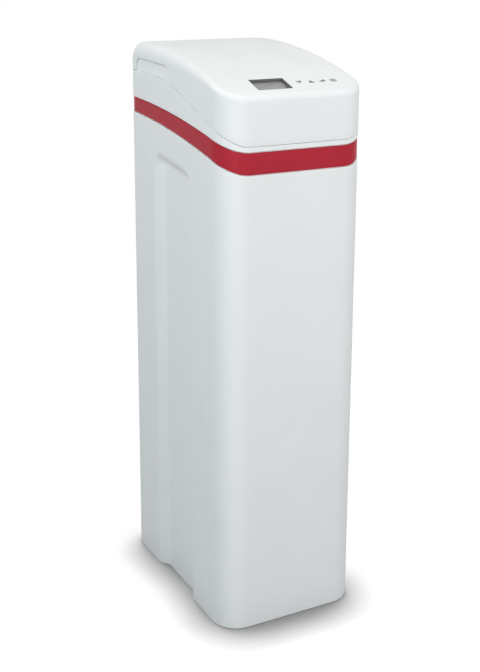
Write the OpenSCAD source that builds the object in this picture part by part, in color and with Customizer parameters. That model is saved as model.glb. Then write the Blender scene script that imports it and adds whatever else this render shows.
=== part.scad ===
// Cabinet water softener: a tall moulded cabinet with a hinged control lid, holding a resin
// vessel with its motor-driven valve, and a brine well that stands in the salt space.
// Millimetres, +Z up, +X to the right seen from the front, +Y to the rear.
// The origin is on the floor under the middle of the cabinet.

/* [Cabinet] */
// Width of the cabinet
cabinet_w = 310; // [300:1:340]
// Depth of the cabinet, front to rear
cabinet_d = 460; // [450:1:500]
// Plan radius of the front corners
front_r = 54; // [40:1:70]
// Plan radius of the rear corners
rear_r = 52; // [40:1:70]
// Wall of the cabinet
wall = 3.5; // [2.5:0.1:4.5]
// Floor of the cabinet
floor_t = 5; // [4:0.5:8]

/* [Band and seam curves] */
// Height of the band's lower edge at the front
band_front_z = 927; // [900:1:950]
// Height of the band at the front
band_h = 41; // [34:1:48]
// How far the band lies behind the cabinet's face
band_inset = 1; // [0.5:0.1:1.5]
// Thickness of the band
band_t = 2.9; // [2:0.1:3.2]
// Length, front to rear, of the steep front arc of every edge curve
front_run = 65; // [50:1:80]
// Slope of the band's lower edge at the front
band_low_front = 33; // [28:0.5:38]
// Slope of the band's lower edge behind its front arc
band_low_mid = 11.5; // [9:0.5:14]
// Slope of the band's lower edge at the rear
band_low_rear = 1.5; // [0.5:0.5:3]
// Slope of the band's upper edge at the front
band_top_front = 29; // [25:0.5:34]
// Slope of the band's upper edge behind its front arc
band_top_mid = 10; // [8:0.5:12]
// Slope of the band's upper edge at the rear
band_top_rear = 0.5; // [0.5:0.5:3]
// Slope of the seam at the front
seam_front = 40; // [36:0.5:44]
// Slope of the seam behind its front arc
seam_mid = 20; // [18:0.5:22]
// Slope that the seam falls to towards the rear
seam_end = 9; // [7:0.5:11]
// Height of the collar at the front, between band and seam
collar_h = 11; // [8:1:16]
// Open height of the seam between collar and lid
seam_gap = 1; // [0.8:0.1:1.6]
// Height of the collar's level edge under the front of the finger notch
ledge_z = 1079; // [1070:1:1084]
// Rise of the level edge to the rear, in degrees
ledge_slope = 1.7; // [0:0.1:2.5]

/* [Cabinet neck and collar lip] */
// Clearance between the neck and the band or collar round it
neck_fit = 0.1; // [0.1:0.05:0.3]
// Wall of the neck
neck_t = 2.5; // [2:0.1:3.5]
// Height of the neck above the band
neck_rise = 6; // [4:0.5:7]
// Depth of the shoulder that carries the neck, below the band
shoulder = 10; // [8:1:14]
// Height of the collar's lip above the seam
lip_rise = 8; // [5:0.5:12]
// Wall of the collar's lip
lip_t = 2.5; // [2:0.1:3.5]
// Depth of the lip's root below the seam
lip_root = 3; // [2:0.1:3.5]
// Clearance between the lip and the lid's skirt
lip_fit = 0.5; // [0.4:0.1:0.9]

/* [Side recess] */
// Width of the recess at the cabinet's face
recess_w = 164; // [140:1:180]
// Depth of the recess
recess_depth = 15; // [10:0.5:17]
// Height of the recess's top at its middle
recess_top_z = 918; // [850:1:925]
// Slope of the recess's top edge
recess_slope = 7; // [0:0.5:9]
// Corner radius of the recess
recess_r = 28; // [20:1:34]

/* [Lid] */
// Wall of the lid
lid_wall = 3; // [2.5:0.1:3.4]
// Height of the lid at its front, above the seam
lid_front_h = 91; // [80:1:105]
// Radius of the arched top, seen from the side
top_r = 1000; // [900:10:1200]
// Distance of the arch's crest from the rear face
crest_back = 90; // [60:1:120]
// Rounding of the lid's top edge
edge_r = 16; // [10:1:22]
// Front end of the finger notch, behind the middle
notch_front = 12; // [0:1:40]
// Length of the finger notch
notch_l = 158; // [100:1:170]
// Height of the finger notch above the collar's level edge
notch_h = 27; // [22:1:30]
// Corner radius of the finger notch
notch_r = 14; // [8:1:20]
// Depth of the finger scoop behind the notch
scoop_depth = 9; // [7:0.5:12]
// Thickness of the finger scoop
scoop_t = 2.5; // [2:0.1:3]
// How far the scoop runs past the ends of the notch
scoop_margin = 4; // [3:0.5:6]
// Drop of the scoop's bend below the collar's level edge
scoop_drop = 8; // [6:0.5:12]
// Rise of the scoop above the notch
scoop_rise = 5; // [3:0.5:7]
// Length of the scoop's root on the collar's wall
scoop_root = 24; // [16:1:28]

/* [Lid hinge] */
// Distance of each hinge from the middle
hinge_x = 85; // [60:1:92]
// Radius of the hinge barrels
barrel_r = 6; // [5:0.5:7]
// Radius of the hinge pins
pin_r = 2.5; // [2:0.1:3]
// Running clearance of the hinge pins
pin_fit = 0.06; // [0.02:0.01:0.1]
// Length of the lid's barrel
lid_barrel_l = 20; // [14:1:26]
// Length of each collar barrel
collar_barrel_l = 10; // [7:1:14]
// Gap between hinge barrels
barrel_gap = 0.5; // [0.4:0.1:1]
// Gap between the barrels and the rear face
barrel_out = 1; // [0.8:0.1:2]
// Thickness of the webs that carry the barrels
web_t = 4.5; // [3:0.5:5]

/* [Display and keys] */
// Distance of the panel's centre line from the front face
panel_back = 44; // [40:1:52]
// Centre of the display, across
display_x = -37; // [-45:1:-30]
// Width of the display opening
display_w = 73; // [60:1:80]
// Length of the display opening, up the slope
display_l = 44; // [36:1:46]
// Corner radius of the display opening
display_r = 1.5; // [1:0.1:3]
// Border of the display frame beyond the opening
frame_border = 6; // [5:0.5:7]
// Thickness of the display frame
frame_t = 4; // [3:0.1:5]
// Thickness of the clear window
window_t = 1.5; // [1:0.1:2]
// Thickness of the frame's lip over the window
frame_lip = 1.2; // [0.8:0.1:1.5]
// Corner radius of the display frame
frame_r = 3; // [2:0.1:4]
// Width of the window's seat beyond the opening
seat_w = 2; // [1.5:0.1:3]
// Clearance round the window in its seat
seat_fit = 0.2; // [0.1:0.05:0.3]
// Gap between the lid and the pieces under it
under_gap = 0.4; // [0.4:0.05:0.6]
// First key's centre, across
key_x = 25; // [22:1:28]
// Distance between keys
key_pitch = 24.7; // [22:0.1:26]
// Width of a key
key_w = 15; // [12:0.5:17]
// Length of a key, up the slope
key_l = 12; // [10:0.5:15]
// Corner radius of a key
key_r = 3; // [2:0.1:4]
// How far a key stands proud of the lid
key_proud = 0.4; // [0.2:0.1:0.8]
// Gap round a key
key_gap = 0.4; // [0.3:0.05:0.6]
// Travel of a key
key_travel = 0.8; // [0.5:0.1:1]
// Flange of a key beyond its edge, under the lid
key_flange = 1.5; // [1:0.1:2]
// Thickness of a key's flange
key_flange_t = 1.2; // [0.8:0.1:1.6]
// Depth of the circuit board below the lid's face
board_depth = 13; // [12.5:0.1:15]
// Thickness of the circuit board
board_t = 1.6; // [1.2:0.1:2]
// Width of the circuit board
board_w = 224; // [215:1:230]
// Length of the circuit board, up the slope
board_l = 60; // [58:1:64]
// Distance of the board's screws from its edges
board_inset = 4.5; // [4.2:0.1:6]
// Corner radius of the circuit board
board_r = 2; // [1:0.5:3]
// Width of the board's cable block
block_w = 28; // [20:1:36]
// Length of the board's cable block
block_l = 8; // [6:0.5:10]
// Height of the board's cable block
block_h = 6; // [4:0.5:8]
// Depth of the board screws in their posts
board_grip = 6; // [4:0.5:7]
// Radius of the lid's screw posts
post_r = 4; // [3.5:0.1:4.5]
// Radius of the board screws
board_screw_r = 1.5; // [1.2:0.1:1.8]
// Side of a key switch
switch_side = 6; // [5:0.5:7]
// Height of a key switch
switch_h = 3.2; // [2.8:0.1:3.4]
// Clearance under a key's stem when it is pressed
stop_gap = 0.3; // [0.2:0.05:0.5]

/* [Screws] */
// Clearance of screws in their holes
screw_fit = 0.1; // [0.05:0.05:0.2]
// Radius of a screw head over the radius of its shank
head_ratio = 1.8; // [1.6:0.05:2]
// Height of a screw head
head_h = 2; // [1.5:0.1:2.5]

/* [Resin vessel] */
// Gap between the resin vessel and the wall behind each side recess
tank_gap = 9.5; // [8.5:0.5:14]
// Height of the vessel
tank_h = 880; // [860:1:890]
// Distance of the vessel's axis behind the middle
tank_y = 70; // [60:1:80]
// Wall of the vessel
tank_wall = 4; // [3:0.5:6]
// Height of the bottom dome
dome_low = 60; // [50:1:70]
// Height of the top dome
dome_top = 55; // [45:1:65]
// Height of the neck above the top dome
tank_neck_h = 20; // [16:1:26]
// Outer radius of the neck
tank_neck_r = 46; // [44:1:48]
// Radius of the opening in the neck
tank_bore_r = 36.3; // [35:0.1:37]
// Thickness of the boot under the vessel
boot_t = 6; // [4:0.5:8]
// Height of the boot
boot_h = 47; // [40:1:52]
// Radius of the opening under the boot
boot_hole_r = 42; // [30:1:60]
// Clearance between the vessel and the pieces that touch it
tank_fit = 0.3; // [0.2:0.05:0.5]
// Height of the resin bed's surface above the vessel's foot
resin_h = 550; // [400:5:620]

/* [Riser and distributors] */
// Outer radius of the riser tube
riser_r = 13.3; // [12:0.1:14]
// Wall of the riser tube
riser_wall = 1.9; // [1.5:0.1:2.5]
// Radius of the lower distributor
basket_r = 20; // [18:0.5:24]
// Height of the lower distributor
basket_h = 44; // [36:1:60]
// Radius of the upper distributor
cone_r = 30; // [26:1:33]
// Height of the upper distributor
cone_h = 26; // [20:1:32]
// Width of the distributors' slots
slot_w = 1.2; // [0.8:0.1:1.6]
// Slots round each distributor
slot_count = 16; // [12:1:20]
// Wall of the distributors
basket_wall = 2; // [1.5:0.1:2.5]
// Gap between the lower distributor and the vessel's floor
basket_lift = 2; // [1.5:0.1:4]
// Taper of the upper distributor, on its radius
cone_taper = 6; // [3:0.5:8]
// Gap between the riser's foot and the lower distributor's floor
riser_lift = 6; // [4:0.5:10]
// Depth of the riser in the valve
riser_grip = 10; // [6:1:14]
// Clearance between the riser and the pieces on it
riser_fit = 0.1; // [0.05:0.05:0.2]

/* [Valve] */
// Radius of the valve barrel
barrel_body_r = 46; // [44:1:48]
// Height of the valve barrel above its flange
barrel_body_h = 54; // [50:1:60]
// Thickness of the base flange
flange_t = 12; // [8:1:14]
// Radius of the base flange
flange_r = 50; // [48:1:53]
// Depth of the nozzle in the vessel's neck
nozzle_h = 22; // [18:1:26]
// Thickness of the base seal
seal_t = 2; // [1.5:0.1:3]
// Radius of the rotor's chamber
chamber_r = 38; // [36:0.5:40]
// Thickness of the rotor disc
rotor_t = 10; // [8:0.5:12]
// Clearance round the rotor disc
rotor_gap = 0.5; // [0.4:0.1:0.8]
// Radius of the rotor's stem
stem_r = 8; // [7:0.1:9]
// Running clearance of the stem and of the gears' shafts
shaft_fit = 0.05; // [0.02:0.01:0.1]
// Thickness of the valve cap
cap_t = 10; // [8:0.5:14]
// How far the cap stands out beyond the barrel
cap_edge = 2; // [1:0.1:3]
// Screws round the cap
cap_count = 6; // [4:1:8]
// Radius of the cap screws
cap_screw_r = 1.8; // [1.5:0.1:2]
// Depth of the cap screws in the barrel
cap_grip = 11; // [8:0.5:14]
// Depth of the cap screws' heads below the cap's face
cap_sink = 1; // [0.5:0.1:1.5]
// Radius of the water passages inside the valve
passage_r = 5; // [4:0.1:5.5]
// Distance of the rotor's ports from its axis
rotor_port_x = 22; // [18:0.5:26]
// Distance between the two ports
port_pitch = 75; // [70:1:80]
// Height of the port axes above the vessel's neck
port_rise = 38; // [34:1:40]
// Bore of the ports
port_bore_r = 12; // [10:0.1:13]
// Outer radius of the port tubes
port_r = 17; // [16:0.5:18]
// Radius of the threaded port ends
port_thread_r = 20; // [19.5:0.1:20.5]
// Length of the threaded port ends
port_thread_l = 22; // [18:1:26]
// Distance of the port ends behind the vessel's axis
port_reach = 102; // [96:1:106]

/* [Pipe connections] */
// Radius of the tails' pipe threads
tail_thread_r = 16.6; // [15:0.1:17]
// Length of the tails' pipe threads
tail_thread_l = 26; // [20:1:32]
// How far the tails stand out behind the cabinet
tail_out = 32; // [29:1:45]
// Thickness of the tails' flanges
tail_flange_t = 5; // [4:0.5:6]
// Depth of the tails' threads
tail_step = 1.1; // [0.8:0.1:1.5]
// Gap between a tail and its port
tail_gap = 0.3; // [0.2:0.05:0.5]
// Thickness of the lip that holds a tail in its nut
nut_lip = 6; // [4:0.5:8]
// Depth of the thread on the ports
thread_depth = 1; // [0.6:0.1:1.2]
// Radius of the union nuts over their corners
nut_r = 26; // [25:0.5:27]
// Length of the union nuts
nut_l = 30; // [28:1:34]
// Clearance between nuts, tails and ports
nut_fit = 0.15; // [0.1:0.05:0.3]
// Thread pitch of the pipe ends
thread_pitch = 2.3; // [1.8:0.1:3]
// Radius of the drain tube
drain_r = 6.5; // [5:0.1:7]
// Bore of the drain tube
drain_bore_r = 4.5; // [3.5:0.1:5]
// Distance of the drain tube from the middle
drain_x = 72; // [71:0.5:74]
// Height of the barbs on the hose ends
barb_h = 1.2; // [0.8:0.1:1.6]
// Length of one barb
barb_l = 4; // [3:0.5:5]
// Distance between barbs
barb_pitch = 5; // [5:0.5:7]
// Barbs on a hose end
barb_count = 3; // [2:1:3]
// Wall of the drain socket on the valve
drain_wall = 3.5; // [2.5:0.1:4.5]
// Length of the drain socket beyond the barrel
drain_boss_l = 14; // [12:0.5:16]
// Depth of the drain tube in its socket
drain_depth = 10; // [8:0.5:11]
// Thickness of the collar on the drain tube
drain_collar_t = 4; // [3:0.5:5]

/* [Rear opening] */
// Width of the rear opening
window_w = 166; // [160:1:176]
// Height of the rear opening
window_h = 66; // [60:1:70]
// Overlap of the rear plate round the opening
plate_lap = 12; // [10:0.5:14]
// Thickness of the rear plate
plate_t = 2.5; // [2:0.1:3]
// Corner radius of the rear plate
plate_r = 8; // [5:0.5:10]
// Gap round the pipes in the rear plate
plate_gap = 1.4; // [1:0.1:2]
// Radius of the plate screws
plate_screw_r = 2; // [1.5:0.1:2.5]
// Overlap of the rear plate above and below the opening
plate_lap_z = 4; // [3:0.5:6]
// Depth of the plate screws behind the cabinet's wall
plate_grip = 4; // [3:0.5:6]

/* [Valve drive] */
// Tooth size of the gears
gear_module = 1.5; // [1.4:0.05:1.55]
// Teeth of the drive gear
drive_teeth = 56; // [52:1:58]
// Teeth of the idler gear
idler_teeth = 28; // [26:1:30]
// Teeth of the motor pinion
pinion_teeth = 14; // [13:1:16]
// Thickness of the gears
gear_t = 8; // [6:0.5:10]
// Play between gear teeth, as an angle share of the pitch
gear_play = 0.06; // [0.04:0.01:0.1]
// Thickness of the drive's base plate
base_plate_t = 5; // [4:0.5:6]
// Gap between the base plate and the gears
gear_lift = 1; // [0.6:0.1:2]
// Radius of the idler's post
idler_post_r = 3; // [2.5:0.1:4]
// Radius of the motor's shaft
motor_shaft_r = 2.5; // [2:0.1:3]
// Radius of the motor
motor_r = 24; // [20:0.5:26]
// Height of the motor
motor_h = 22; // [18:1:26]
// Wall of the drive cover
cover_wall = 2; // [1.5:0.1:3]
// Room between the drive cover and the gears
cover_room = 5; // [4:0.5:8]
// Inside height of the drive cover
cover_h = 26; // [18:1:34]
// Radius of the drive's screws
drive_screw_r = 2; // [1.5:0.1:2.5]
// Radius of the ears that take the drive's screws
ear_r = 6; // [5:0.5:7]
// How far the ears' screws lie outside the cover
ear_out = 3; // [2.5:0.1:4]
// Height of the ears
ear_h = 9; // [6:0.5:12]
// How far the shafts stand above the gears
shaft_end = 2; // [1:0.5:3]
// Gap round the shafts in the base plate
shaft_gap = 1; // [0.6:0.1:1.5]

/* [Injector] */
// Radius of the injector boss
injector_r = 17; // [15:0.5:18]
// Length of the injector boss beyond the barrel
injector_l = 16; // [12:1:20]
// Thickness of the injector cover
injector_cover_t = 8; // [6:0.5:10]
// Wall of the injector boss
injector_wall = 5; // [4.5:0.1:6]
// Radius of the injector screws
injector_screw_r = 1.2; // [1:0.1:1.4]
// Depth of the injector screws in the boss
injector_grip = 8; // [6:0.5:10]

/* [Brine well] */
// Radius of the well
well_r = 38; // [36:0.5:42]
// Wall of the well
well_wall = 2.5; // [2:0.1:3]
// Height of the well's rim above the floor of the cabinet
well_h = 895; // [870:1:900]
// Gap between the well and the right-hand wall
well_side = 21; // [14:1:24]
// Gap between the well and the front wall
well_front = 38; // [30:1:42]
// Thickness of the well's cap
cap_plate_t = 3; // [2.5:0.1:4]
// Depth of the cap's skirt
cap_skirt = 12; // [8:1:16]
// Clearance between the cap and the well
cap_fit = 0.3; // [0.2:0.05:0.5]
// Radius of the cap's knob
knob_r = 9; // [7:0.5:12]
// Height of the cap's knob
knob_h = 12; // [8:1:16]
// Wall of the cap's skirt
cap_wall = 2; // [1.5:0.1:2.5]
// Taper of the knob, on its radius
knob_taper = 1.5; // [0.5:0.1:2.5]
// Width of the slots at the well's foot
well_slot_w = 6; // [4:0.5:10]
// Height of the slots at the well's foot
well_slot_h = 60; // [40:1:80]
// Height of the slots above the floor of the cabinet
well_slot_z = 10; // [6:1:20]
// Slots round the well's foot
well_slots = 6; // [4:1:8]

/* [Brine valve and float] */
// Radius of the pickup tube
pickup_r = 6; // [5:0.1:7]
// Wall of the pickup tube
pickup_wall = 1.6; // [1:0.1:2]
// Clearance of the pickup tube in its sockets
pickup_fit = 0.1; // [0.05:0.05:0.2]
// Radius of the air check's cage
check_r = 16; // [14:0.5:18]
// Height of the air check's cage
check_h = 46; // [40:1:54]
// Wall of the air check's cage
check_wall = 2.2; // [1.8:0.1:2.6]
// Radius of the check ball
ball_r = 7; // [6:0.1:8]
// Rest gap under the check ball
ball_gap = 0.3; // [0.2:0.05:0.5]
// Thickness of the cage's head
check_head = 6; // [5:0.5:8]
// Width of the cage's windows
check_window_w = 6; // [4:0.5:8]
// Depth of the pickup tube in the cage's head
check_grip = 5; // [4:0.5:5.5]
// Radius of the brine valve
brine_valve_r = 13; // [11:0.5:14]
// Height of the brine valve
brine_valve_h = 38; // [34:1:42]
// Distance of the brine valve's foot below the well's rim
brine_valve_drop = 54; // [50:1:60]
// Distance of the float rod from the well's axis
rod_off = 22; // [20:0.5:24]
// Radius of the float rod
rod_r = 2; // [1.5:0.1:2.5]
// Running clearance of the float rod in its guide
rod_fit = 0.08; // [0.02:0.01:0.1]
// Thickness of the rod's guide arm
arm_t = 8; // [6:0.5:10]
// Width of the rod's guide arm
arm_w = 10; // [8:0.5:12]
// Height of the stop on the float rod
stop_h = 4; // [3:0.5:6]
// Radius of the stop on the float rod
stop_r = 4.5; // [4:0.1:5]
// Length of the float rod above its stop
rod_above = 4; // [2:0.5:6]
// Depth of the rod in the float
float_grip = 19; // [12:1:30]
// Radius of the float
float_r = 30; // [27:0.5:32]
// Height of the float
float_h = 70; // [50:1:90]
// Height of the float's foot above the floor of the cabinet
float_z = 195; // [150:5:300]
// Gap between the float and the pickup tube
float_gap = 1.5; // [1:0.1:2]
// Radius of the brine line
line_r = 4.75; // [4:0.05:5]
// Clearance of the brine line in its sockets
line_fit = 0.15; // [0.1:0.05:0.2]
// Outer radius of the brine line's sockets
socket_r = 8; // [7.5:0.1:8.5]
// Depth of the brine line in its sockets
socket_depth = 12; // [10:0.5:14]
// Length of the sockets beyond the brine line's end
socket_more = 4; // [3:0.5:6]
// Distance of the valve's brine socket from the middle
line_x = 18; // [14:1:22]
// Wall of the brine line
line_wall = 1.5; // [1:0.1:1.8]
// How far the well's outlet stands out of the well
outlet_reach = 10; // [8:0.5:12]
// Distance of the outlet from the top of the brine valve
outlet_edge = 3; // [2:0.5:5]
// Length of the brine nut
brine_nut_l = 8; // [6:0.5:10]
// Width of the brine nut beyond its socket
brine_nut_edge = 3; // [2:0.5:4]

/* [Overflow and power inlet] */
// Distance of the overflow from the middle, to the left
overflow_x = 80; // [70:1:88]
// Height of the overflow
overflow_z = 700; // [600:5:780]
// Radius of the overflow's thread
overflow_r = 9; // [8:0.5:10]
// Radius of the overflow's flange
overflow_flange_r = 14; // [13:0.5:16]
// Thickness of the overflow's flange
overflow_flange_t = 3; // [2:0.5:4]
// Length of the overflow's thread behind the cabinet's wall
overflow_in = 16; // [12:0.5:20]
// Thickness of the overflow's nut
overflow_nut_t = 9; // [7:0.5:11]
// Width of the overflow's nut beyond its flange
overflow_nut_edge = 2; // [1:0.5:3]
// Distance of the power socket from the middle
power_x = 70; // [60:1:85]
// Drop of the power socket below the ports
power_drop = 65; // [60:1:80]
// Radius of the power socket
power_r = 7; // [6:0.5:8]
// Radius of the plug hole in the power socket
plug_r = 2.8; // [2.5:0.1:3.2]
// Depth of the plug hole
plug_depth = 10; // [8:0.5:12]
// Radius of the contact in the plug hole
contact_r = 1; // [0.8:0.1:1.2]
// Depth of the power socket behind the rear face
power_depth = 14; // [13:0.5:18]
// Width of the power socket's flange
power_flange = 3; // [2:0.5:4]
// Thickness of the power socket's flange
power_flange_t = 2; // [1.5:0.1:3]
// Clearance of fittings in the cabinet's wall
wall_fit = 0.2; // [0.1:0.05:0.4]

/* [Salt grid] */
// Height of the grid's plate above the floor of the cabinet
grid_z = 56; // [40:1:90]
// Thickness of the grid's plate
grid_t = 4; // [3:0.5:6]
// Gap between the grid and the walls
grid_gap = 4; // [3:0.5:6]
// Length of the grid, front to rear
grid_l = 134; // [110:1:138]
// Radius of the grid's drain holes
grid_hole_r = 5; // [3:0.5:6]
// Distance between drain holes
grid_pitch = 22; // [18:1:30]
// Radius of the grid's legs
grid_leg_r = 7; // [5:0.5:9]
// Distance of the first drain holes from the grid's front edge
grid_edge = 22; // [18:1:26]

/* [Hidden] */
$fn = 96;
// Facets of round shapes that are hulled
hull_fn = 48;
// Smallest overlap that makes two solids or cuts meet cleanly
eps = 0.01;
// Excess of every cutting tool beyond what it cuts
over = 5;
white = [0.90, 0.92, 0.92];
band_red = [0.69, 0.19, 0.25];
dark = [0.20, 0.21, 0.22];
black = [0.10, 0.10, 0.11];
pale_grey = [0.74, 0.76, 0.77];
clear_grey = [0.86, 0.88, 0.88];
steel = [0.72, 0.73, 0.74];
vessel_blue = [0.24, 0.33, 0.42];
resin_amber = [0.62, 0.42, 0.18];
board_green = [0.10, 0.32, 0.20];

front_y = -cabinet_d / 2;
rear_y = cabinet_d / 2;
side_x = cabinet_w / 2;
collar_t = band_inset + band_t;
neck_inset = collar_t + neck_fit;
lip_inset = lid_wall + lip_fit;

// Height at y of an edge curve that starts at z0: a front arc and a main arc that meet at one slope
function edge_z(y, z0, front, mid, rear) =
    let (
        y1 = front_y + front_run,
        r1 = front_run / (sin(front) - sin(mid)),
        r2 = (rear_y - y1) / (sin(mid) - sin(rear)),
        z1 = z0 + r1 * (cos(mid) - cos(front))
    )
    y <= y1
        ? z0 + r1 * (cos(asin(sin(front) - (max(y, front_y) - front_y) / r1)) - cos(front))
        : z1 + r2 * (cos(asin(sin(mid) - (min(y, rear_y) - y1) / r2)) - cos(mid));
function band_low_z(y) = edge_z(y, band_front_z, band_low_front, band_low_mid, band_low_rear);
function band_top_z(y) = edge_z(y, band_front_z + band_h, band_top_front, band_top_mid, band_top_rear);
function ledge_at(y) = ledge_z + (y - notch_front) * tan(ledge_slope);
// The seam climbs to the finger notch and then follows the level edge under it
seam_front_z = band_front_z + band_h + collar_h;
function seam_z(y) = min(edge_z(y, seam_front_z, seam_front, seam_mid, seam_end), ledge_at(y));

// Places along the depth at which the edge curves are drawn
arc_steps = 8;
main_steps = 24;
curve_y = concat(
    [for (i = [0 : arc_steps]) front_y + front_run * i / arc_steps],
    [for (i = [1 : main_steps]) front_y + front_run + (cabinet_d - front_run) * i / main_steps]
);
band_low = [for (y = curve_y) [y, band_low_z(y)]];
band_top = [for (y = curve_y) [y, band_top_z(y)]];
seam = [for (y = curve_y) [y, seam_z(y)]];
foot = [[front_y, 0], [rear_y, 0]];
band_rear_z = band_top_z(rear_y);
seam_rear_z = seam_z(rear_y);

// Edge curve raised by rise and run on past both ends of the cabinet
function run_on(curve, rise = 0) = concat(
    [curve[0] + [-over, rise]],
    [for (p = curve) p + [0, rise]],
    [curve[len(curve) - 1] + [over, rise]]
);
function reverse(list) = [for (i = [len(list) - 1 : -1 : 0]) list[i]];

// Plan of the cabinet, drawn in by inset
module plan(inset = 0) {
    x = side_x - inset;
    y = rear_y - inset;
    f = front_r - inset;
    r = rear_r - inset;
    polygon([
        [-x, -y + f], [-x + f, -y], [x - f, -y], [x, -y + f],
        [x, y - r], [x - r, y], [-x + r, y], [-x, y - r]
    ]);
    for (s = [-1, 1]) {
        translate([s * (x - f), -y + f]) circle(f);
        translate([s * (x - r), y - r]) circle(r);
    }
}

// Upright ring between two insets of the plan
module plan_ring(outer, inner, z0, z1) translate([0, 0, z0]) linear_extrude(z1 - z0) difference() {
    plan(outer);
    plan(inner);
}

// Everything between two edge curves, right across the cabinet
module between(low, high) {
    translate([-side_x - over, 0, 0]) rotate([90, 0, 90]) linear_extrude(cabinet_w + 2 * over)
        polygon(concat(low, reverse(high)));
}

// Both sides of the cabinet: what is drawn on the left is mirrored to the right
module both_sides() {
    children();
    mirror([1, 0, 0]) children();
}

// Outline of y and z carried along X from x0 to x1
module x_extrude(x0, x1) translate([x0, 0, 0]) rotate([90, 0, 90]) linear_extrude(x1 - x0) children();

// Cylinder along Y from y0 to y1
module y_rod(r, y0, y1, sides = $fn) {
    translate([0, y0, 0]) rotate([-90, 0, 0]) cylinder(r = r, h = y1 - y0, $fn = sides);
}

// Cylinder along X from x0 to x1
module x_rod(r, x0, x1, sides = $fn) {
    translate([x0, 0, 0]) rotate([0, 90, 0]) cylinder(r = r, h = x1 - x0, $fn = sides);
}

// Cylinder along Z from z0 to z1
module z_rod(r, z0, z1) translate([0, 0, z0]) cylinder(r = r, h = z1 - z0);

// Rectangle with round corners, centred
module round_rect(w, l, r) {
    square([w - 2 * r, l], center = true);
    square([w, l - 2 * r], center = true);
    for (x = [-1, 1], y = [-1, 1]) translate([x * (w / 2 - r), y * (l / 2 - r)]) circle(r);
}

// Screw with a socket head: its seat at the origin, its head up and its shank down
module screw(r, grip) {
    z_rod(r, -grip, eps);
    difference() {
        cylinder(r = head_ratio * r, h = head_h);
        translate([0, 0, head_h / 2]) cylinder(r = r, h = head_h, $fn = 6);
    }
}

// Heights and axes that the inner pieces share
tank_r = side_x - recess_depth - wall - tank_gap;
tank_foot_z = floor_t + boot_t;
neck_z = tank_foot_z + tank_h;
port_z = neck_z + port_rise;
well_x = side_x - wall - well_side - well_r;
well_y = front_y + wall + well_front + well_r;
module on_tank() translate([0, tank_y, 0]) children();
module on_well() translate([well_x, well_y, 0]) children();
module on_ports() for (s = [-1, 1]) translate([s * port_pitch / 2, 0, port_z]) children();
module at_overflow() translate([-overflow_x, 0, overflow_z]) children();
module at_power() translate([power_x, 0, port_z - power_drop]) children();

// Cabinet
// Tall outline of the side recess, seen along X, grown by more on every side
recess_steps = 12;
function arc(y, z, r, a0, a1) = [
    for (i = [0 : recess_steps])
        let (a = a0 + (a1 - a0) * i / recess_steps)
        [y + r * cos(a), z + r * sin(a)]
];
module recess_outline(more) {
    half = recess_w / 2 + more;
    rise = half * tan(recess_slope);
    r = recess_r + more;
    z = recess_top_z + more - r;
    turn = 90 + atan(rise / (half - r));
    polygon(concat(
        arc(half - r, z + rise, r, 0, turn),
        arc(r - half, z - rise, r, turn, 180),
        [[-half, -over], [half, -over]]
    ));
}

// Solid that the side recesses take out of the cabinet, with sides that slope at 45 degrees
module recess_tool(more) {
    depth = recess_depth + more;
    both_sides() hull() {
        x_extrude(-side_x - over, -side_x) recess_outline(more);
        x_extrude(-side_x + depth - eps, -side_x + depth) recess_outline(more - depth);
    }
}

module cabinet_outer() {
    intersection() {
        linear_extrude(band_rear_z) plan();
        between(run_on(foot, -over), run_on(band_low));
    }
    intersection() {
        plan_ring(neck_inset, neck_inset + neck_t, band_front_z - shoulder, band_rear_z + 2 * neck_rise);
        between(run_on(band_low, -shoulder), run_on(band_top, neck_rise));
    }
}

module cabinet_hollow() {
    intersection() {
        translate([0, 0, floor_t]) linear_extrude(band_rear_z) plan(wall);
        between(run_on(foot, -over), run_on(band_low, -shoulder));
    }
    intersection() {
        linear_extrude(band_rear_z + 3 * neck_rise) plan(neck_inset + neck_t);
        between(run_on(band_low, -2 * shoulder), run_on(band_top, 2 * neck_rise));
    }
}

module rear_panel(w, h, y0, y1) {
    translate([0, y1, port_z]) rotate([90, 0, 0]) linear_extrude(y1 - y0) round_rect(w, h, plate_r);
}

module plate_screw_places() {
    dx = window_w / 2 + plate_lap / 2;
    dz = window_h / 2 - plate_r;
    for (x = [-dx, dx], z = [-dz, dz]) translate([x, 0, port_z + z]) children();
}

module through_rear(r) y_rod(r, rear_y - wall - over, rear_y + over);

module cabinet() color(white) difference() {
    cabinet_outer();
    difference() {
        cabinet_hollow();
        recess_tool(wall);
    }
    recess_tool(0);
    rear_panel(window_w, window_h, rear_y - wall - over, rear_y + over);
    plate_screw_places() through_rear(plate_screw_r + screw_fit);
    at_overflow() through_rear(overflow_r + wall_fit);
    at_power() through_rear(power_r + wall_fit);
}

module trim_band() color(band_red) intersection() {
    plan_ring(band_inset, collar_t, band_front_z - over, band_rear_z + over);
    between(run_on(band_low, neck_fit), run_on(band_top, -neck_fit));
}

// Collar with its lip, finger scoops and hinge barrels
hinge_y = rear_y + barrel_out + barrel_r;
hinge_z = seam_rear_z;

// Hinge barrel with the web that joins it to the wall above or below the seam
module hinge_barrel(x0, x1, up) {
    reach = barrel_r + barrel_out + lid_wall / 2;
    translate([0, hinge_y, hinge_z]) difference() {
        union() {
            x_rod(barrel_r, x0, x1);
            translate([x0, -reach, up ? seam_gap : -seam_gap - web_t]) cube([x1 - x0, reach, web_t]);
        }
        x_rod(pin_r + pin_fit, x0 - over, x1 + over);
    }
}

// Outline of the finger notch, run on below the collar's level edge
module notch_outline() translate([notch_front, ledge_z]) rotate(ledge_slope) {
    translate([0, -3 * over]) square([notch_l, notch_h - notch_r + 3 * over]);
    translate([notch_r, 0]) square([notch_l - 2 * notch_r, notch_h]);
    for (y = [notch_r, notch_l - notch_r]) translate([y, notch_h - notch_r]) circle(notch_r);
}

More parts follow.
